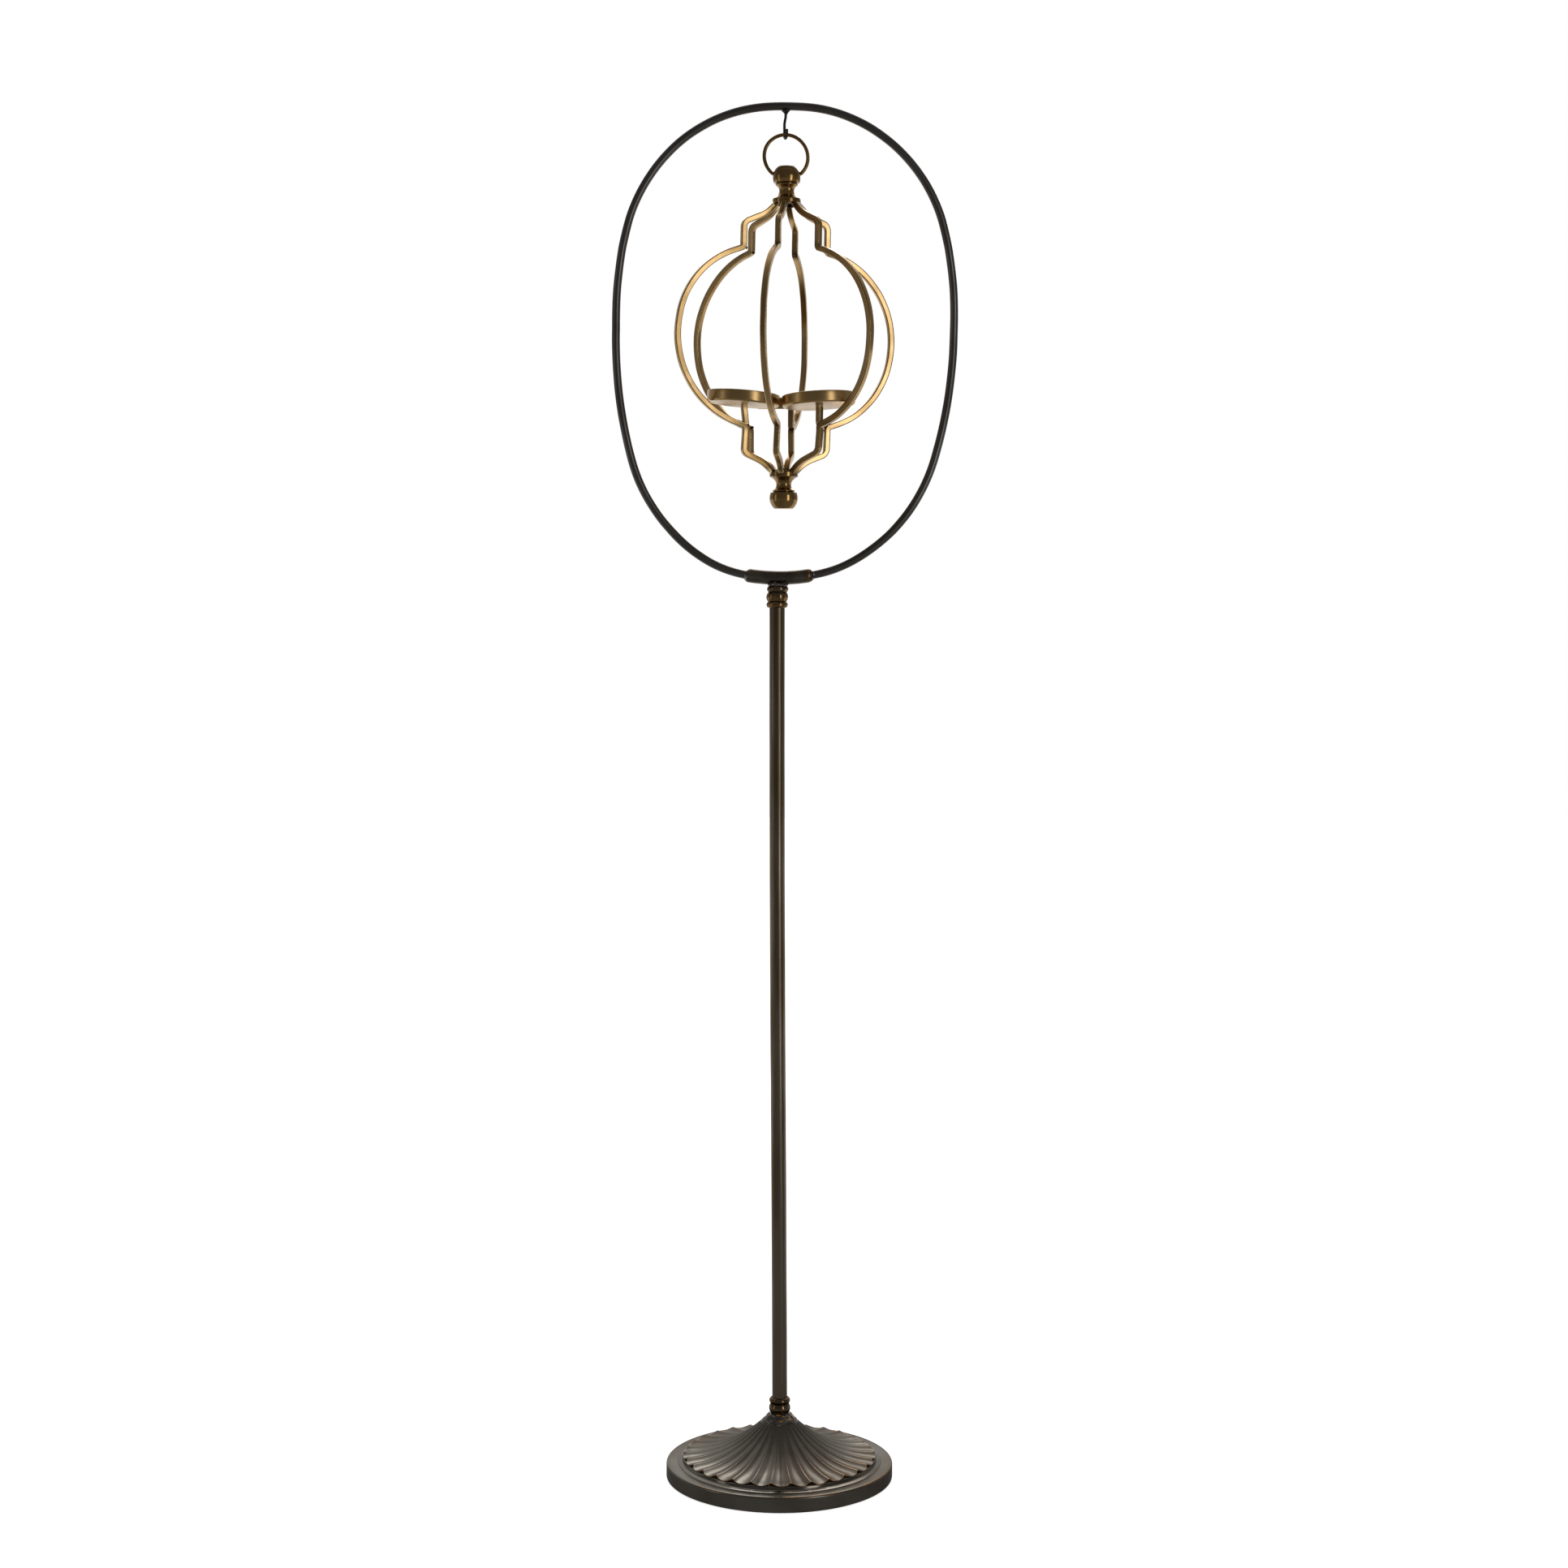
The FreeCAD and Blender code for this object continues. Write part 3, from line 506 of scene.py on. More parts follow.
base = {
    "radius": 127.0,
    "underside": 1.5,
    "rimTop": 18.6,
    "rimRound": 2.4,
    "rimWall": 9.0,
    "coveFoot": 113.8,
    "coveTop": 108.3,
    "capRadius": 107.7,
    "ledge": 23.8,
    "edgeHeight": 24.5,  # bottom of a flute at the scalloped edge
    "fluteDepth": 3.6,
    "fluteStart": 14.0,
    "flutes": 30,
    "fluteTurn": 1.0,
    "scallop": 3.2,
    "seatRadius": 12.2,
    "seatHeight": 72.2,
    "curve": 2.27,  # 1 is a straight cone, more makes the dome hollower
    "wall": 4.0,
    "boss": 14.0,
    "weightTop": 18.0,
    "bore": 5.25,
    "turnSteps": 480,
    "capRows": 44,
    "lipRows": [(0.45, 0.28), (0.62, 0.85), (-0.1, 1.9)],  # out and down, row by row round the edge
}


def ridgeHeight(r):
    t = (r - base["seatRadius"]) / (base["capRadius"] - base["seatRadius"])
    endHeight = base["edgeHeight"] + base["fluteDepth"]
    return endHeight + (base["seatHeight"] - endHeight) * max(0.0, 1 - t) ** base["curve"]


# Where a direction lies across its flute: -1 and 1 on the ridges, 0 in the middle.
def acrossFlute(angle):
    pitch = 360.0 / base["flutes"]
    share = ((angle - 270.0 - base["fluteTurn"] + pitch / 2) / pitch) % 1.0
    return 2 * share - 1


def makeBase():
    b = base
    rows = b["capRows"]
    # each point: radius, height, and the row number on the cap, or -1 elsewhere
    outline = [(b["bore"], b["seatHeight"], -1), (b["seatRadius"] - 1.5, b["seatHeight"], -1)]
    for k in range(rows + 1):
        outline.append((b["seatRadius"] + k, 0.0, k))
    outline += [(0, 0, rows + 1), (0, 0, rows + 2), (0, 0, rows + 3)]  # rounding of the scalloped edge
    outline += [(b["capRadius"] - b["scallop"] - 1.2, b["ledge"], -1), (b["coveTop"] - 0.5, b["ledge"], -1)]
    outline += [(r, z, -1) for r, z in curveThrough([
        (b["coveTop"], b["ledge"] - 0.4), (b["coveTop"] + 1.1, b["ledge"] - 3.2),
        (b["coveFoot"] - 1.6, b["rimTop"] + 0.9), (b["coveFoot"], b["rimTop"] + 0.45)], 7)]
    outline += [(b["coveFoot"] + 0.25, b["rimTop"] - 0.05, -1), (b["coveFoot"] + 0.7, b["rimTop"], -1)]
    roundAt = b["radius"] - b["rimRound"]
    outline += [(roundAt - 4.0, b["rimTop"], -1)]
    outline += [(r, z, -1) for r, z in arcPoints((roundAt, b["rimTop"] - b["rimRound"]), b["rimRound"], 90, 0, 7)]
    outline += [(b["radius"], z, -1) for z in (13.0, 9.0, 5.0, 3.0)]
    outline += [(b["radius"] - 0.3, 1.9, -1), (b["radius"] - 0.8, b["underside"], -1)]
    inner = b["radius"] - b["rimWall"]
    roofRadius = b["coveTop"] - b["wall"] - 2
    outline += [(inner, b["underside"], -1), (inner, b["rimTop"] - b["wall"], -1),
                (b["coveTop"] - 1, b["rimTop"] - b["wall"], -1)]
    for k in range(9):
        r = roofRadius + (b["boss"] - roofRadius) * k / 8
        outline.append((r, ridgeHeight(r) - b["fluteDepth"] - b["wall"] * 0.8, -1))
    outline += [(b["boss"], b["weightTop"], -1), (b["bore"], b["weightTop"], -1)]
    bm = bmesh.new()
    rowTag = bm.verts.layers.int.new("capRow")
    start = []
    for r, z, row in outline:
        vert = bm.verts.new((max(r, 0.01) + row * 1e-3, 0, z - row * 1e-2))
        vert[rowTag] = row
        start.append(vert)
    chain = [bm.edges.new(pair) for pair in zip(start, start[1:] + start[:1])]
    bmesh.ops.spin(bm, geom=start + chain, axis=(0, 0, 1), cent=(0, 0, 0), angle=math.tau, steps=b["turnSteps"],
                   use_merge=True)
    pitch = 360.0 / b["flutes"]
    for vert in bm.verts:
        row = vert[rowTag]
        angle = math.degrees(math.atan2(vert.co.y, vert.co.x))
        if row < 0:
            continue
        even = acrossFlute(angle)
        u = math.copysign(abs(even) ** 0.72, even)  # more points near the ridges than in the flutes
        turn = math.radians(angle + (u - even) * pitch / 2)
        edge = b["capRadius"] - b["scallop"] * abs(u) ** 2.2
        share = min(row, rows) / rows
        share = 1 - (1 - share) ** 1.25
        r = b["seatRadius"] + (edge - b["seatRadius"]) * share
        fade = max(0.0, (r - b["fluteStart"]) / (b["capRadius"] - b["fluteStart"]))
        ridgeRound = 0.12 * math.exp(-((1 - abs(u)) / 0.05) ** 2)
        depth = b["fluteDepth"] * fade ** 0.7
        z = ridgeHeight(r) - depth * (1 - u * u) - depth * ridgeRound
        if row > rows:
            out, drop = b["lipRows"][row - rows - 1]
            r += out
            z -= drop
            if row == rows + 3:
                z = max(min(z, b["ledge"] + 0.1), b["ledge"] + 0.02)
                r = edge - 0.5
        else:
            # the last stretch turns down a little, so that the scallop's end is soft
            z -= 0.5 * max(0.0, share - 0.93) / 0.07 * (1 - u * u)
        vert.co = (r * math.cos(turn), r * math.sin(turn), z)
    bmesh.ops.recalc_face_normals(bm, faces=bm.faces)

    def rubbedAndShaded(vert):
        row = vert[rowTag]
        r = reach(vert)
        if row >= 0:
            u = acrossFlute(math.degrees(math.atan2(vert.co.y, vert.co.x)))
            share = min(row, rows) / rows
            ridge = math.exp(-((1 - abs(u)) / 0.07) ** 2) * (0.25 + 0.6 * share)
            lip = 0.75 if rows < row < rows + 3 else (0.25 if row == rows else 0.0)
            if row > rows and abs(u) > 0.7:
                lip = 0.85 if row < rows + 3 else 0.5  # the ridges' ends are rubbed down to the ledge
            # painted shade: the cap darker towards the collar, and darker beside the ridges, where they shade the
            # flutes
            shadeTowardsCollar = 0.55 * (1 - share) ** 1.5
            near = max(0.0, 1 - (1 - abs(u)) / 0.22) * 0.35
            return max(ridge, lip), (shadeTowardsCollar + near * share) * (1 - ridge)
        if roundAt - 0.1 < r < b["radius"] - 0.2 and vert.co.z > 16:
            return 0.45, 0.0, 0.6
        # painted shade under the scallops' lip, on the ledge and the cove's top
        if b["coveTop"] - 6 < r < b["coveTop"] + 0.1 and vert.co.z > b["rimTop"]:
            return 0.0, 0.3, 0.5
        if r < b["coveFoot"] - 0.1 and vert.co.z > b["rimTop"]:
            return 0.0, 0.0, 1.0
        return 0.0, 0.0

    finishPiece(bm, "cast_base", "stand", ["base_dome"], "castBronze", sharp=42, rub=0.6,
                dirtAndShade=0.6, extra=rubbedAndShaded)


makeBase()
print("base made")


# ---- collars and pole ----

collars = {
    "radius": 12.0,
    "beadRadius": 11.8,
    "groove": 9.9,
    "barrel": 10.6,
    "bead": 6.6,
    "lowerFoot": 1.6,
    "upperCrown": 1.4,
    "lowerAt": 71.8,
    "upperAt": 975.7,
    "lowerBore": 5.3,
    "upperBore": 5.1,
    "fit": 0.05,  # between pole and socket
}
pole = {"radius": 8.4, "bottom": 84.6, "top": 981.7, "wall": 1.5, "steps": 96}


def bulgeLine(groove, swell, bottom, top, steps=10):
    line = []
    for n in range(1, steps):
        t = 0.5 - 0.5 * math.cos(math.pi * n / steps)
        line.append((groove + (swell - groove) * math.sin(math.pi * t) ** 0.7, bottom + (top - bottom) * t))
    return line


def makeCollars():
    c = collars
    z = c["lowerAt"]
    barrelAt = z + c["lowerFoot"]
    beadAt = barrelAt + c["barrel"]
    top = beadAt + c["bead"]
    socket = pole["radius"] + c["fit"]
    outline = [(c["lowerBore"], z), (c["groove"], z), (c["groove"], barrelAt)]
    outline += bulgeLine(c["groove"], c["radius"], barrelAt, beadAt) + [(c["groove"], beadAt)]
    outline += bulgeLine(c["groove"], c["beadRadius"], beadAt, top, 8)
    outline += [(c["groove"] - 0.3, top), (socket + 0.1, top), (socket, top - 0.4), (socket, pole["bottom"]),
                (c["lowerBore"], pole["bottom"])]
    bm = turned(outline, 72)
    unsettle([v for v in bm.verts if reach(v) > 9.5], 0.12, 0.2, 1)
    finishPiece(bm, "lower_turned_collar", "stand", ["lower_collar"], "collarBronze",
                sharp=50, rub=1.6, dirtAndShade=2.6)
    z = c["upperAt"]
    barrelAt = z + c["bead"]
    topBead = barrelAt + c["barrel"]
    crownAt = topBead + c["bead"]
    top = crownAt + c["upperCrown"]
    outline = [(socket + 0.1, z), (c["groove"] - 0.3, z)]
    outline += bulgeLine(c["groove"], c["beadRadius"], z, barrelAt, 8) + [(c["groove"], barrelAt)]
    outline += bulgeLine(c["groove"], c["radius"], barrelAt, topBead) + [(c["groove"], topBead)]
    outline += bulgeLine(c["groove"], c["beadRadius"], topBead, crownAt, 8)
    outline += [(c["groove"], crownAt), (c["groove"], top), (c["upperBore"], top), (c["upperBore"], pole["top"]),
                (socket, pole["top"]), (socket, z + 0.4)]
    bm = turned(outline, 72)
    unsettle([v for v in bm.verts if reach(v) > 9.5], 0.14, 0.2, 2)

    def gilded(vert):
        return (0.32 if vert.co.z < topBead and reach(vert) > 10.7 else 0.0), 0.0

    finishPiece(bm, "upper_turned_collar", "stand", ["upper_collar"], "collarBronze",
                sharp=50, rub=1.6, dirtAndShade=2.6, extra=gilded)


def makePole():
    p = pole
    step = (p["top"] - p["bottom"]) / p["steps"]
    outline = [(p["radius"], p["bottom"] + step * k) for k in range(p["steps"] + 1)]
    outline += [(p["radius"] - p["wall"], p["top"]), (p["radius"] - p["wall"], p["bottom"])]
    bm = turned(outline, 64)
    for vert in bm.verts:
        if reach(vert) > p["radius"] - 0.5:
            out = Vector((vert.co.x, vert.co.y, 0)).normalized()
            vert.co += out * 0.09 * noise.noise(Vector((vert.co.x * 0.1, vert.co.y * 0.1, vert.co.z * 0.03)))
    finishPiece(bm, "pole", "stand", ["pole_tube"], "tubeBronze", sharp=50, rub=0, dirtAndShade=0)


makeCollars()
makePole()
print("collars and pole made")


# ---- hoop, sleeve and brazes ----

hoop = {
    "bottom": 1008.4,
    "bar": 4.4,
    "bends": [(214.3, 9.86), (135.5, 20.62), (187.0, 43.9), (503.7, 28.99), (166.4, 73.29)],
    "sides": 20,
    "narrow": [(1000.0, 1.0), (1040.0, 0.997), (1065.0, 0.9945), (1136.0, 0.993), (1190.0, 0.993), (1279.0, 0.992),
               (1323.0, 0.999), (1368.0, 1.002), (1403.0, 0.997), (1457.0, 0.987), (1492.0, 0.982), (1530.0, 0.978)],
    "sleeveRadius": 7.5,
    "sleeveLength": 70.0,
}
hoop["sleeveTurn"] = math.degrees(hoop["sleeveLength"] / 2 / hoop["bends"][0][0])  # to each side


def hoopLine(step=5.0):
    h = hoop
    x, z, heading = 0.0, h["bottom"], 0.0
    points = [(x, z)]
    bends = h["bends"] + [(None, 180.0 - sum(turn for _, turn in h["bends"]))]
    for radius, turn in bends:
        sweepAngle = math.radians(turn)
        if radius is None:
            radius = x / math.sin(sweepAngle)
        centreX = x - radius * math.sin(heading)
        centreZ = z + radius * math.cos(heading)
        count = max(3, round(radius * sweepAngle / step))
        for n in range(1, count + 1):
            a = heading + sweepAngle * n / count
            points.append((centreX + radius * math.sin(a), centreZ - radius * math.cos(a)))
        heading += sweepAngle
        x, z = points[-1]
    return points


def makeHoop():
    right = hoopLine()
    left = [(-x, z) for x, z in reversed(right[1:-1])]
    path = planePath([(x * between(hoop["narrow"], z), z) for x, z in right + left])
    girth = [1 + 0.02 * noise.noise(p * 0.02) for p in path]
    bm = bendBar(roundSection(hoop["bar"], hoop["sides"]), path, Vector((0, 1, 0)), girth, closed=True)
    unsettle(bm.verts, 0.12, 0.04, 4)
    finishPiece(bm, "bent_hoop", "stand", ["hoop"], "hoopBronze", sharp=60, rub=0, dirtAndShade=0)


# A point on the hoop's lowest bend, so many degrees to the right of its bottom.
def lowBend(degrees):
    radius = hoop["bends"][0][0]
    a = math.radians(degrees)
    return radius * math.sin(a), hoop["bottom"] + radius - radius * math.cos(a)


def makeSleeve():
    h = hoop
    turn = h["sleeveTurn"]
    steps = 28
    path = planePath([lowBend(turn * (2 * n / steps - 1)) for n in range(steps + 1)])
    ends = [0.86, 0.95, 0.995]  # its rims are rounded over
    spots = [0.0, 0.35, 0.9]
    lead = [path[0].lerp(path[1], spot) for spot in spots]
    tail = [path[-1].lerp(path[-2], spot) for spot in reversed(spots)]
    girth = ends + [1.0] * (steps - 1) + ends[::-1]
    bm = bendBar(roundSection(h["sleeveRadius"], 40), lead + path[1:-1] + tail, Vector((0, 1, 0)), girth)
    unsettle(bm.verts, 0.12, 0.09, 6)

    def worn(vert):
        return 0.4 * max(0.0, (vert.co.x - 18) / 17) + 0.25 * (vert.co.x > 33.5), 0.0

    finishPiece(bm, "joint_sleeve", "stand", ["hoop_sleeve"], "sleeveBronze", sharp=50,
                rub=2.5, dirtAndShade=2.0, extra=worn)


def makeSleeveBrazes():
    girth = [0.94, 0.99, 0.95, 0.87, 0.79, 0.72, 0.67, 0.635, 0.6]
    for side, length, name in ((-1, 3.5, "left"), (1, 5.0, "right")):
        start = hoop["sleeveTurn"] - 0.25
        sweep = math.degrees((length + 0.6) / hoop["bends"][0][0])
        path = planePath([lowBend(side * (start + sweep * n / 8)) for n in range(9)])
        bm = bendBar(roundSection(hoop["sleeveRadius"] - 0.3, 28), path, Vector((0, 1, 0)), girth)
        unsettle(bm.verts, 0.45, 0.33, 8 + side)
        finishPiece(bm, "sleeve_solder_" + name, "stand", ["sleeve_braze_" + name], "brazeMetal",
                    sharp=60, rub=1.2, dirtAndShade=1.5)


brazes = {
    "footStart": [(9.4, 72.0), (10.0, 73.6), (11.0, 73.2), (11.9, 72.2)],
    "footRadii": (13.4, 15.0, 16.6, 18.2, 19.8),
    "footEnd": [(21.0, -0.6), (18.0, -3.0)],  # radius, and depth in the dome
    "footInside": (9.4, 66.0),
    "top": [(9.4, 999.4), (10.9, 999.6), (11.3, 1000.8), (10.6, 1002.3), (9.2, 1003.6), (8.0, 1005.0),
            (6.2, 1005.4), (3.0, 1003.0), (3.0, 999.8)],
    # place, size and seed
    "lumps": [((7.0, -8.0, 1001.6), (3.0, 2.0, 2.1), 2), ((-6.5, -8.6, 1001.2), (2.8, 1.9, 1.9), 5),
              ((2.0, -9.8, 1000.6), (2.4, 1.6, 1.7), 7), ((4.0, 8.8, 1001.4), (3.0, 2.0, 2.0), 9)],
}


def makeBrazes():
    outline = brazes["footStart"] + [(r, ridgeHeight(r) + 0.7 - 0.1 * (r - 13)) for r in brazes["footRadii"]]
    outline += [(r, ridgeHeight(r) + deep) for r, deep in brazes["footEnd"]] + [brazes["footInside"]]
    bm = turned(outline, 120)
    for vert in bm.verts:
        r = reach(vert)
        if r > 11.8 and vert.co.z > ridgeHeight(r) - 1:
            a = math.atan2(vert.co.y, vert.co.x)
            swell = noise.noise(Vector((math.cos(a) * 2.3, math.sin(a) * 2.3, r * 0.2)))
            vert.co.z += swell * 0.8 + noise.noise(vert.co * 0.5) * 0.9
    bmesh.ops.subdivide_edges(bm, edges=bm.edges, cuts=1, use_grid_fill=True)
    unsettle([v for v in bm.verts if reach(v) > 11], 0.5, 0.55, 3)
    finishPiece(bm, "foot_braze", "stand", ["lower_braze"], "brazeMetal", sharp=60, rub=1.5, dirtAndShade=1.5)
    bm = turned(brazes["top"], 64)
    for vert in bm.verts:
        if reach(vert) > 6:
            out = Vector((vert.co.x, vert.co.y, 0)).normalized()
            swell = noise.noise(vert.co * 0.16 + Vector((3, 1, 8)))
            fine = noise.noise(vert.co * 0.5)
            vert.co += out * (swell * 1.5 + fine * 0.6)
            vert.co.z += swell * 0.8
    for place, size, seed in brazes["lumps"]:
        lump(bm, place, size, seed)
    finishPiece(bm, "top_braze", "stand", ["upper_braze"], "brazeMetal", sharp=60, rub=1.5, dirtAndShade=1.5)


makeHoop()
makeSleeve()
makeSleeveBrazes()
makeBrazes()
print("hoop, sleeve and brazes made")


# ---- hook and ring ----

hook = {
    "hoopUnder": 1515.02,
    "drop": 30.0,
    "wire": 1.5,
    "bend": 4.3,
    "tip": 5.2,
    "neck": 4.5,
    "kink": 43.0,  # degrees, how far the wire turns aside under its weld
    "twist": 18.0,
    # radius, and height over the hoop's underside
    "weld": [(0.3, -4.2), (1.7, -4.0), (2.3, -3.0), (3.1, -2.0), (4.3, -1.0), (4.9, 0.4), (3.4, 2.2), (0.3, 2.4)],
}
ring = {
    "wire": 2.0,
    "radius": 23.7,
    "gap": 0.3,
    "pinDrop": 18.1,
    "pinInner": 9.0,
    "endBend": 3.0,
}


def saddleHeight():
    return hook["hoopUnder"] - hook["drop"]


def ringCentre():
    return saddleHeight() + hook["wire"] + ring["gap"] + ring["wire"] - ring["radius"]


def pinHeight():
    return ringCentre() - ring["pinDrop"]


def makeHook():
    h = hook
    bend = h["bend"]
    bendAt = saddleHeight() + bend
    neckAt = h["hoopUnder"] - h["neck"]
    kink = math.radians(h["kink"])
    radius = bend / 2 / (1 - math.cos(kink))
    low = neckAt - 2 * radius * math.sin(kink)
    aside = [(radius - radius * math.cos(kink * n / 6), radius * math.sin(kink * n / 6)) for n in range(7)]
    line = [(0, h["hoopUnder"] + 1), (0, h["hoopUnder"] - 1.5)]
    line += [(x, neckAt - z) for x, z in aside]
    line += [(bend - x, low + z) for x, z in aside[-2::-1]]
    line += [(bend, low + (bendAt - low) * n / 4) for n in range(1, 4)]
    line += arcPoints((0, bendAt), bend, 0, -180, 18)
    line += [(-bend, bendAt + h["tip"] * t) for t in (0.35, 0.7, 0.86, 0.95, 1.0)]
    girth = [1.0] * (len(line) - 3) + [0.93, 0.75, 0.4]
    side = turnAbout("Z", h["twist"]) @ Vector((-1, 0, 0))
    bm = bendBar(roundSection(h["wire"], 16), planePath(line, 90 + h["twist"]), side, girth)
    unsettle(bm.verts, 0.08, 0.3, 11)
    finishPiece(bm, "bent_hook", "stand", ["hook"], "hookIron", sharp=60, rub=0.4, dirtAndShade=0.4)
    bm = turned([(r, h["hoopUnder"] + z) for r, z in h["weld"]], 36)
    unsettle(bm.verts, 0.55, 0.35, 12)
    bmesh.ops.subdivide_edges(bm, edges=bm.edges, cuts=1, use_grid_fill=True)
    finishPiece(bm, "hook_braze", "stand", ["hook_weld"], "hookIron", sharp=70, rub=0.6, dirtAndShade=0.8)


def makeRing():
    r = ring
    centreZ = ringCentre()
    pinZ = pinHeight()
    bendZ = pinZ + r["endBend"]
    bendX = math.sqrt((r["radius"] - r["endBend"]) ** 2 - (centreZ - bendZ) ** 2)
    outAngle = math.degrees(math.atan2(bendZ - centreZ, bendX))
    end = [(r["pinInner"] + d, pinZ) for d in (0.0, 0.3, 0.8)]
    end += [(r["pinInner"] + (bendX - r["pinInner"]) * n / 4, pinZ) for n in range(1, 4)]
    end += arcPoints((bendX, bendZ), r["endBend"], -90, outAngle, 8)
    line = end + arcPoints((0, centreZ), r["radius"], outAngle, 180 - outAngle, 96)[1:-1]
    line += [(-x, z) for x, z in reversed(end)]
    girth = [0.7, 0.9] + [1.0] * (len(line) - 4) + [0.9, 0.7]
    bm = bendBar(roundSection(r["wire"], 18), planePath(line), Vector((0, 1, 0)), girth)
    finishPiece(bm, "wire_ring", "ring", ["hanging_ring"], "ringBrass", sharp=60, rub=0.3, dirtAndShade=0.3)


makeHook()
makeRing()
print("hook and ring made")


# ---- finials ----

finial = {
    "topFlange": 1414.72,
    "bottomFlange": 1124.92,
    "neck": 13.2,
    "waist": 8.2,
    "bead": 2.7,
    "beadRadius": 12.4,
    "groove": 11.2,
    "ballWaist": 6.4,
    "ballFlat": 11.7,
    "flangeRadius": 15.6,
    "top": (15.3, 5.9),  # the ball's radius and the flange's height
    "bottom": (15.6, 6.7),
}


def finialOutline(ball, flangeHigh):
    f = finial
    neckAt = flangeHigh + f["neck"]
    beadAt = neckAt + f["bead"]
    centre = beadAt + f["ballWaist"]
    flat = centre + f["ballFlat"]
    lowest = math.degrees(math.asin((f["ballWaist"] - 0.6) / ball))
    highest = math.degrees(math.asin(f["ballFlat"] / ball))
    rim, waist = f["flangeRadius"], f["waist"]
    line = [(0.0, 0.0), (rim - 1.0, 0.0), (rim - 0.25, 0.35), (rim, 1.0), (rim, flangeHigh * 0.5),
            (rim - 0.05, flangeHigh - 1.5)]
    line += arcPoints((rim - 1.5, flangeHigh - 1.5), 1.45, 8, 82, 4)
    line += [(rim - 2.2, flangeHigh + 0.1)]
    line += curveThrough([(waist + 4.6, flangeHigh + 0.5), (waist + 1.2, flangeHigh + f["neck"] * 0.3),
                          (waist, flangeHigh + f["neck"] * 0.62), (waist + 0.9, neckAt - f["neck"] * 0.14),
                          (waist + 2.4, neckAt - 0.5)], 6)
    line += [(f["groove"] - 0.3, neckAt - 0.1)]
    line += bulgeLine(f["groove"] - 0.3, f["beadRadius"], neckAt, beadAt, 8)
    line += [(f["groove"], beadAt), (f["groove"] + 0.1, beadAt + 0.3)]
    line += arcPoints((0, centre), ball, -lowest, highest, 22)
    line += [(math.cos(math.radians(highest)) * ball - 1.0, flat + 0.1), (0.0, flat + 0.15)]
    return line


def makeFinials():
    f = finial
    bm = turned(finialOutline(*f["top"]), 96, closed=False)
    bmesh.ops.translate(bm, verts=bm.verts, vec=(0, 0, f["topFlange"]))
    for vert in bm.verts:
        # the holes for the ring's pins, pressed in
        for side in (1, -1):
            off = math.hypot(vert.co.y, vert.co.z - pinHeight())
            if vert.co.x * side > 5 and off < 3.2:
                vert.co.x -= side * max(0.0, 1 - max(0.0, off - 2.0) / 1.2) * 2.2

    # painted shade: the ball's top and the crease over the flange are darker
    def shadedTopAndCrease(vert):
        z = vert.co.z - f["topFlange"]
        return 0.0, (0.5 if z > 36 else 0.0) + (0.35 if 5.5 < z < 8 else 0.0)

    finishPiece(bm, "top_turned_finial", "lantern", ["top_finial"], "finialBrass", sharp=48,
                rub=1.6, dirtAndShade=3.0, extra=shadedTopAndCrease)
    bm = turned(finialOutline(*f["bottom"]), 96, closed=False)
    bmesh.ops.scale(bm, vec=(1, 1, -1), verts=bm.verts)
    bmesh.ops.translate(bm, verts=bm.verts, vec=(0, 0, f["bottomFlange"]))
    bmesh.ops.recalc_face_normals(bm, faces=bm.faces)
    finishPiece(bm, "bottom_turned_finial", "lantern", ["bottom_finial"], "finialBrass", sharp=48,
                rub=1.6, dirtAndShade=3.0)


makeFinials()
print("finials made")


# ---- ribs ----

rib = {
    "bar": 6.4,
    "corner": 1.0,
    "angles": [199.2, 258.3, 317.2, 18.5, 79.3, 141.0],
    "arc": 98.2,
    "arcCentre": 26.9,
    "arcAt": 1269.8,
    "topNeck": 48.5,
    "topShoulder": 1387.9,
    "bottomNeck": 48.1,
    "bottomShoulder": 1149.9,
    "shoulder": 8.0,
    "steep": 42.0,
    "mild": 22.0,
    "mildLength": 13.0,
    "blend": 40.0,
    "kinkSoft": 3.2,  # how far before a kink the bend begins
    "leanStops": (1166.0, 1366.0, 1390.0),  # the bottom neck's height and the top neck's ends
}
# How far each rib leans to the right, in millimetres: at the top neck, at the arc's middle and at the bottom
# neck, and how far its upper bend sits low.
leans = {1: (0.0, 3.0, 3.2, 0.0), 2: (1.6, 3.2, 2.6, 2.0), 3: (-0.6, -0.8, 3.6, 2.6), 4: (-0.6, -0.6, 1.8, 2.0),
         5: (1.2, -0.2, -1.0, 0.0), 6: (0.0, -0.8, 0.0, 0.0)}


def leanAt(number, z):
    atTop, atArc, atNeck, _ = leans[number]
    neck, topFrom, topTo = rib["leanStops"]
    return between([(finial["bottomFlange"], 0.0), (neck, atNeck), (rib["arcAt"], atArc), (topFrom, atTop),
                    (topTo, atTop), (finial["topFlange"], 0.0)], z, soft=True)


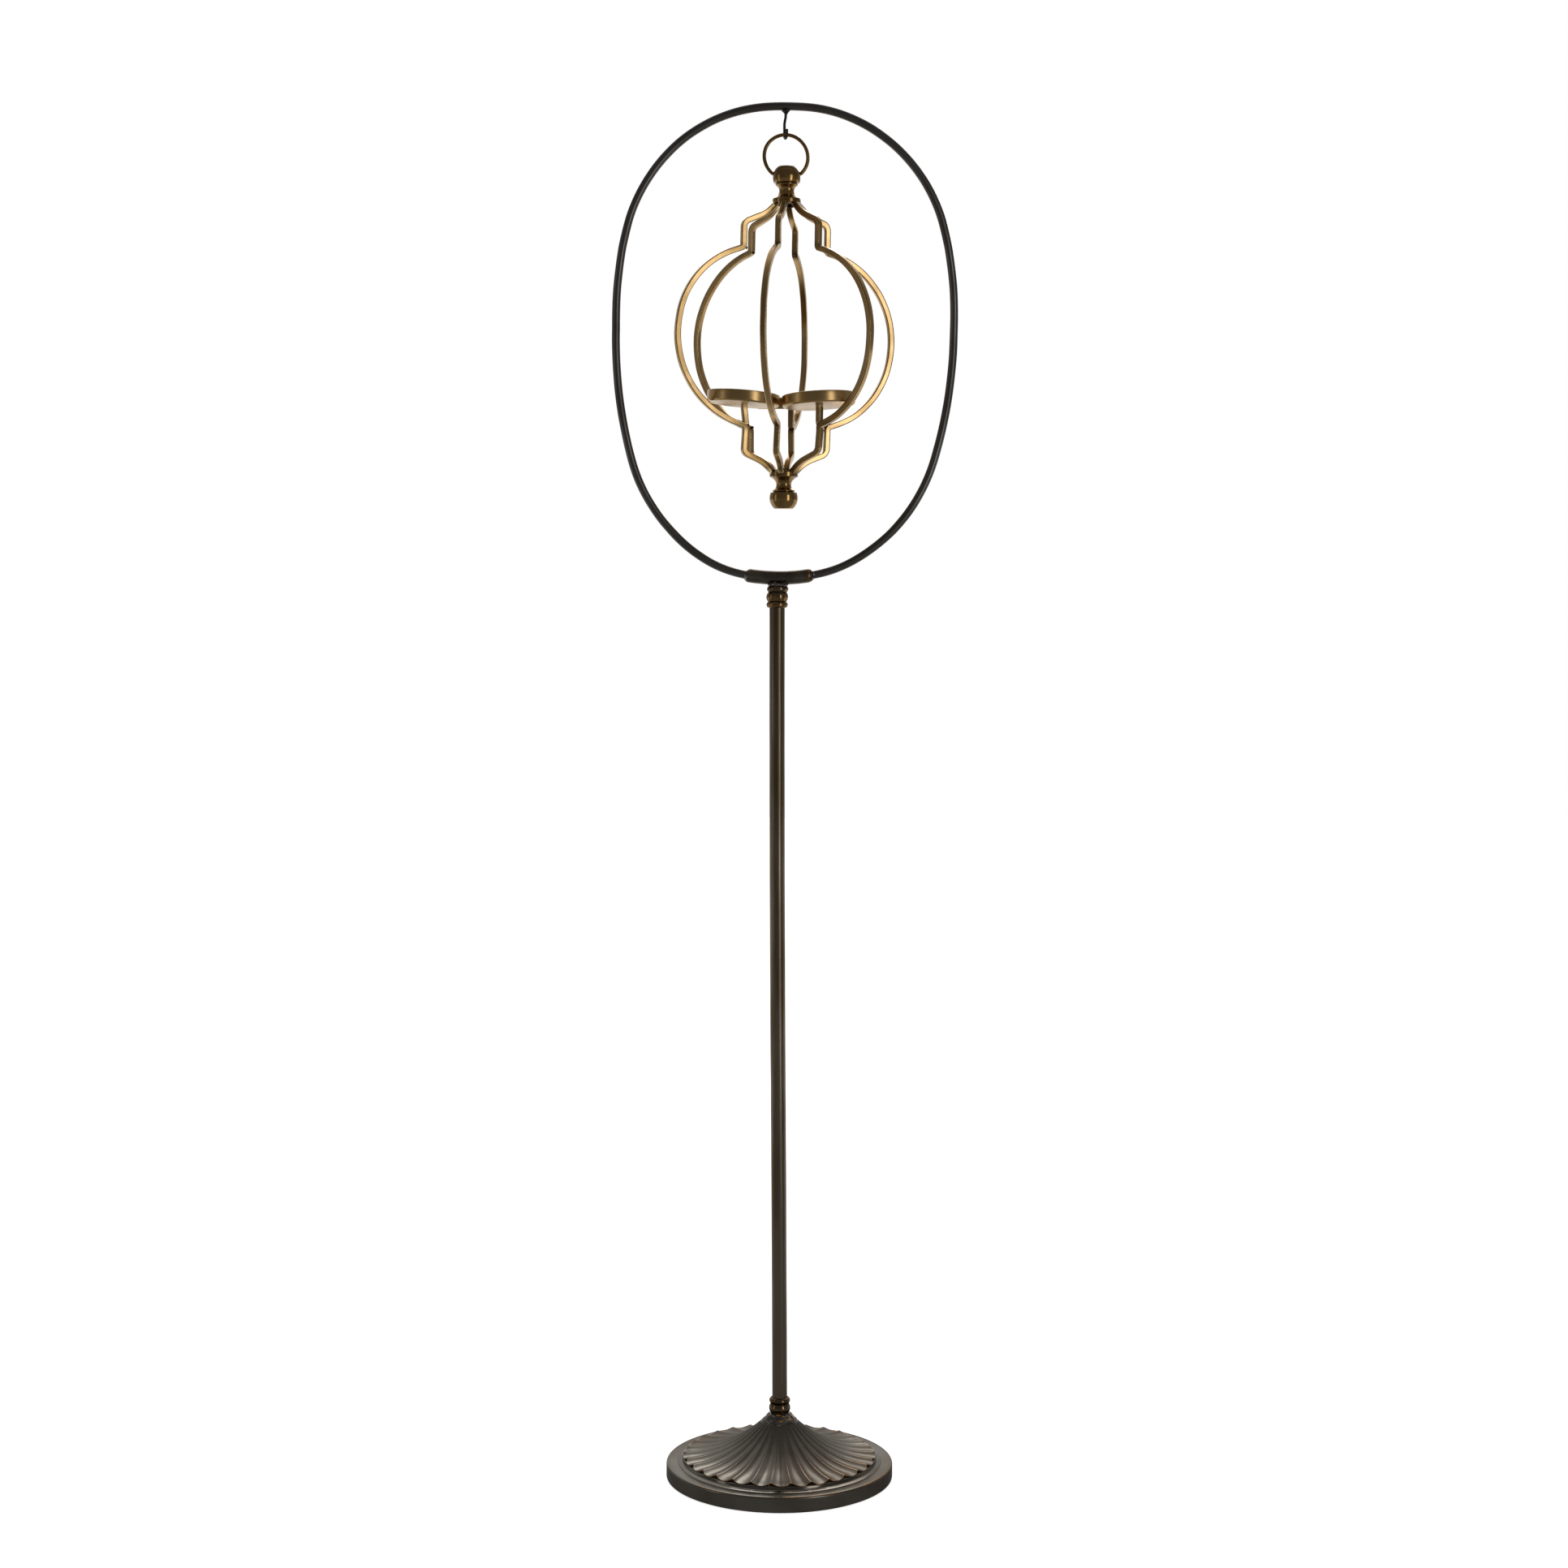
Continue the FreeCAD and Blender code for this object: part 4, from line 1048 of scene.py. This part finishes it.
# Half of a rib's middle line, from the flange out to the neck. up is 1 at the top and -1 below.
def shoulderLine(neck, shoulderAt, flangeAt, up):
    r = rib
    steep, mild = math.radians(r["steep"]), math.radians(r["mild"])

    def off(centre, radius, angle):
        return (centre[0] + radius * math.sin(angle), centre[1] + up * radius * math.cos(angle))

    hub = (neck - r["shoulder"], shoulderAt)
    start = off(hub, r["shoulder"], mild)
    before = (start[0] - r["mildLength"] * math.cos(mild), start[1] + up * r["mildLength"] * math.sin(mild))
    blend = off(before, r["blend"], mild)
    low = off(blend, -r["blend"], steep)
    run = up * (flangeAt - low[1]) / math.tan(steep)
    line = [(low[0] - run, flangeAt + up * 0.4)]
    line += [off(blend, -r["blend"], steep + (mild - steep) * n / 5) for n in range(6)]
    line += [(before[0] + (start[0] - before[0]) * t, before[1] + (start[1] - before[1]) * t) for t in (0.33, 0.66)]
    line += [off(hub, r["shoulder"], mild + (math.pi / 2 - mild) * n / 8) for n in range(9)]
    return line


def kinkHeight(neck, up):
    reach = neck - rib["arcCentre"]
    return rib["arcAt"] + up * math.sqrt(rib["arc"] ** 2 - reach ** 2)


def ribLine():
    r = rib
    top = shoulderLine(r["topNeck"], r["topShoulder"], finial["topFlange"], 1)
    bottom = shoulderLine(r["bottomNeck"], r["bottomShoulder"], finial["bottomFlange"], -1)
    topKink = kinkHeight(r["topNeck"], 1)
    bottomKink = kinkHeight(r["bottomNeck"], -1)
    startAngle, endAngle = [math.degrees(math.asin((kink - r["arcAt"]) / r["arc"])) for kink in (topKink, bottomKink)]
    # aside and up from the kink, in steps of the bend's softness
    bend = [(0.0, 2.0), (0.0, 1.0), (0.5, 0.42), (1.8, -0.06)]
    line = top + [(r["topNeck"] + out, topKink + up * r["kinkSoft"]) for out, up in bend]
    line += arcPoints((r["arcCentre"], r["arcAt"]), r["arc"], startAngle, endAngle, 72)[3:-3]
    line += [(r["bottomNeck"] + out, bottomKink - up * r["kinkSoft"]) for out, up in reversed(bend)]
    return line + bottom[::-1]


def ribBar(width, corner, line, angle, offset=(0, 0, 0)):
    across = turnAbout("Z", angle) @ Vector((0, 1, 0))
    return bendBar(squareSection(width, corner), planePath(line, angle, offset), across)


# The joints' surroundings stay dark.
def seamed(vert):
    near = min(abs(vert.co.z - kinkHeight(rib["topNeck"], 1)), abs(vert.co.z - kinkHeight(rib["bottomNeck"], -1)))
    radius = reach(vert)
    return 0.0, max(0.0, 1 - near / 5) * 0.6 + max(0.0, 1 - (radius - 15) / 10) * 0.5 * (radius < 25)


def makeRibs():
    r = rib
    line = ribLine()
    for number, angle in enumerate(r["angles"], 1):
        bm = ribBar(r["bar"], r["corner"], line, angle)
        for vert in bm.verts:
            vert.co.x += leanAt(number, vert.co.z)
            low = min((vert.co.z - r["arcAt"]) / 97, (finial["topFlange"] - 8 - vert.co.z) / 38)
            vert.co.z -= leans[number][3] * max(0.0, min(1.0, low))
        unsettle(bm.verts, 0.22, 0.05, number)
        finishPiece(bm, "cage_rib_%d" % number, "lantern", ["rib_%d" % number], "ribBrass",
                    sharp=60, rub=5.0, dirtAndShade=3.0, extra=seamed)


makeRibs()
print("ribs made")


# ---- candle plates and their stems ----

plates = {
    "radius": 39.5,
    "depth": 12.5,
    "sheet": 1.5,
    "corner": 2.2,
    "pitch": 47.5,
    "lean": 4.5,
    "height": 1196.5,
    "stemBar": 6.4,
    # for each plate: its rib, how low it sits, how far to the right, and its stem's top outwards
    "each": [(1, 0.0, 0.0, 2.5), (3, 2.6, 3.0, 0.0), (5, 0.0, 0.0, 0.0)],
}


def makePlates():
    p = plates
    for number, (ribNumber, drop, shift, stemShift) in enumerate(p["each"], 1):
        angle = rib["angles"][ribNumber - 1]
        c, sheet = p["corner"], p["sheet"]
        inner = p["radius"] - sheet
        outline = [(0.0, 0.0), (12.0, 0.0), (p["radius"] - c - 6, 0.0), (p["radius"] - c - 0.6, 0.0)]
        outline += arcPoints((p["radius"] - c, c), c, -84, -6, 6)
        outline += [(p["radius"], c + 1.2), (p["radius"] + 0.05, p["depth"] * 0.6)]
        outline += arcPoints((p["radius"] - sheet / 2 + 0.1, p["depth"] - 0.75), sheet / 2, 0, 180, 6)
        outline += [(inner, c + 2.0)]
        outline += arcPoints((inner - 1.4, sheet + 1.4), 1.4, 0, -90, 4)
        outline += [(inner - 8.0, sheet), (12.0, sheet), (0.0, sheet)]
        bm = turned(outline, 128, closed=False)
        for vert in bm.verts:
            a = math.atan2(vert.co.y, vert.co.x)
            swell = noise.noise(Vector((math.cos(a), math.sin(a), number * 3.7)))
            vert.co += Vector((math.cos(a), math.sin(a), 0)) * swell * 0.25 * reach(vert) / 40
            vert.co.z += 0.35 * noise.noise(Vector((vert.co.x * 0.03, vert.co.y * 0.03, number)))
        bmesh.ops.rotate(bm, verts=bm.verts, cent=(0, 0, 0), matrix=turnAbout("Y", -p["lean"]))
        bmesh.ops.translate(bm, verts=bm.verts, vec=(p["pitch"], 0, p["height"] - drop))
        bmesh.ops.rotate(bm, verts=bm.verts, cent=(0, 0, 0), matrix=turnAbout("Z", angle))
        bmesh.ops.translate(bm, verts=bm.verts, vec=(shift, 0, 0))
        finishPiece(bm, "plate_%d" % number, "lantern", ["candle_plate_%d" % number], "plateBrass",
                    sharp=50, rub=2.0, dirtAndShade=1.5)
        foot = kinkHeight(rib["bottomNeck"], -1) + 1.5
        top = p["height"] - drop + 0.6
        line = [(p["pitch"] + stemShift * n / 6, foot + (top - foot) * n / 6) for n in range(7)]
        bm = ribBar(p["stemBar"], 1.0, line, angle, (leanAt(ribNumber, foot), 0, 0))
        unsettle(bm.verts, 0.15, 0.1, number + 20)
        finishPiece(bm, "stem_%d" % number, "lantern", ["plate_stem_%d" % number], "ribBrass",
                    sharp=60, rub=5.0, dirtAndShade=3.0, extra=lambda v: (0.0, 0.35))


makePlates()
print("plates and stems made")


# ---- solder at the lantern's joints ----

solder = {
    # distance from the axis, half the distance between a pair, and how far from the flange
    "flange": (13.4, 3.2, 1.0),
    "flangeSize": (2.2, 2.2, 1.6),
    "low": (3.0, 0.6),  # how far inside the neck, and how far over the kink
    "lowSize": (1.9, 1.9, 1.6),
    "high": (3.2, 0.0),
    "highSize": (1.5, 1.5, 1.8),
}


def makeSolder():
    bm = bmesh.new()
    outAt, aside, inset = solder["flange"]
    for number, angle in enumerate(rib["angles"], 1):
        turn = turnAbout("Z", angle)
        for k in (-1, 1):
            for z, up in ((finial["topFlange"] - inset, 1), (finial["bottomFlange"] + inset, -1)):
                spot = turn @ Vector((outAt, aside * k, z))
                lump(bm, spot, solder["flangeSize"], number + k * 3 + up, detail=2)
        for end, neck, up, seed in (("low", rib["bottomNeck"], -1, 2.0), ("high", rib["topNeck"], 1, 3.0)):
            kink = kinkHeight(neck, up)
            inside, over = solder[end]
            spot = turn @ Vector((neck - inside, 0, kink + over)) + Vector((leanAt(number, kink), 0, 0))
            lump(bm, spot, solder[end + "Size"], number * seed, detail=2)
    finishPiece(bm, "joint_solder", "lantern", [], "solderSeam", sharp=80, rub=1.0, dirtAndShade=1.0)


makeSolder()
print("solder made")


# ---- carried-over pieces out of sight ----

def leanedCopy(node, name, finish):
    bm = bmesh.new()
    bm.from_mesh(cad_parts[node].data)
    bmesh.ops.scale(bm, vec=(1 / toMetres,) * 3, verts=bm.verts)
    bmesh.ops.remove_doubles(bm, verts=bm.verts, dist=1e-3)
    finishPiece(bm, name, "stand", [node], finish, sharp=35)


leanedCopy("pole_upper_bush", "upper_bush", "rawIron")
leanedCopy("upper_stud", "collar_stud", "zincSteel")

hidden = {
    "base_weight": "rawIron",
    "pole_lower_bush": "rawIron",
    "base_washer": "zincSteel",
    "base_nut": "zincSteel",
    "base_stud": "zincSteel",
    "base_felt": "felt",
}
for name, finish in hidden.items():
    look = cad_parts[name].data.materials
    look.clear()
    look.append(metals[finish])
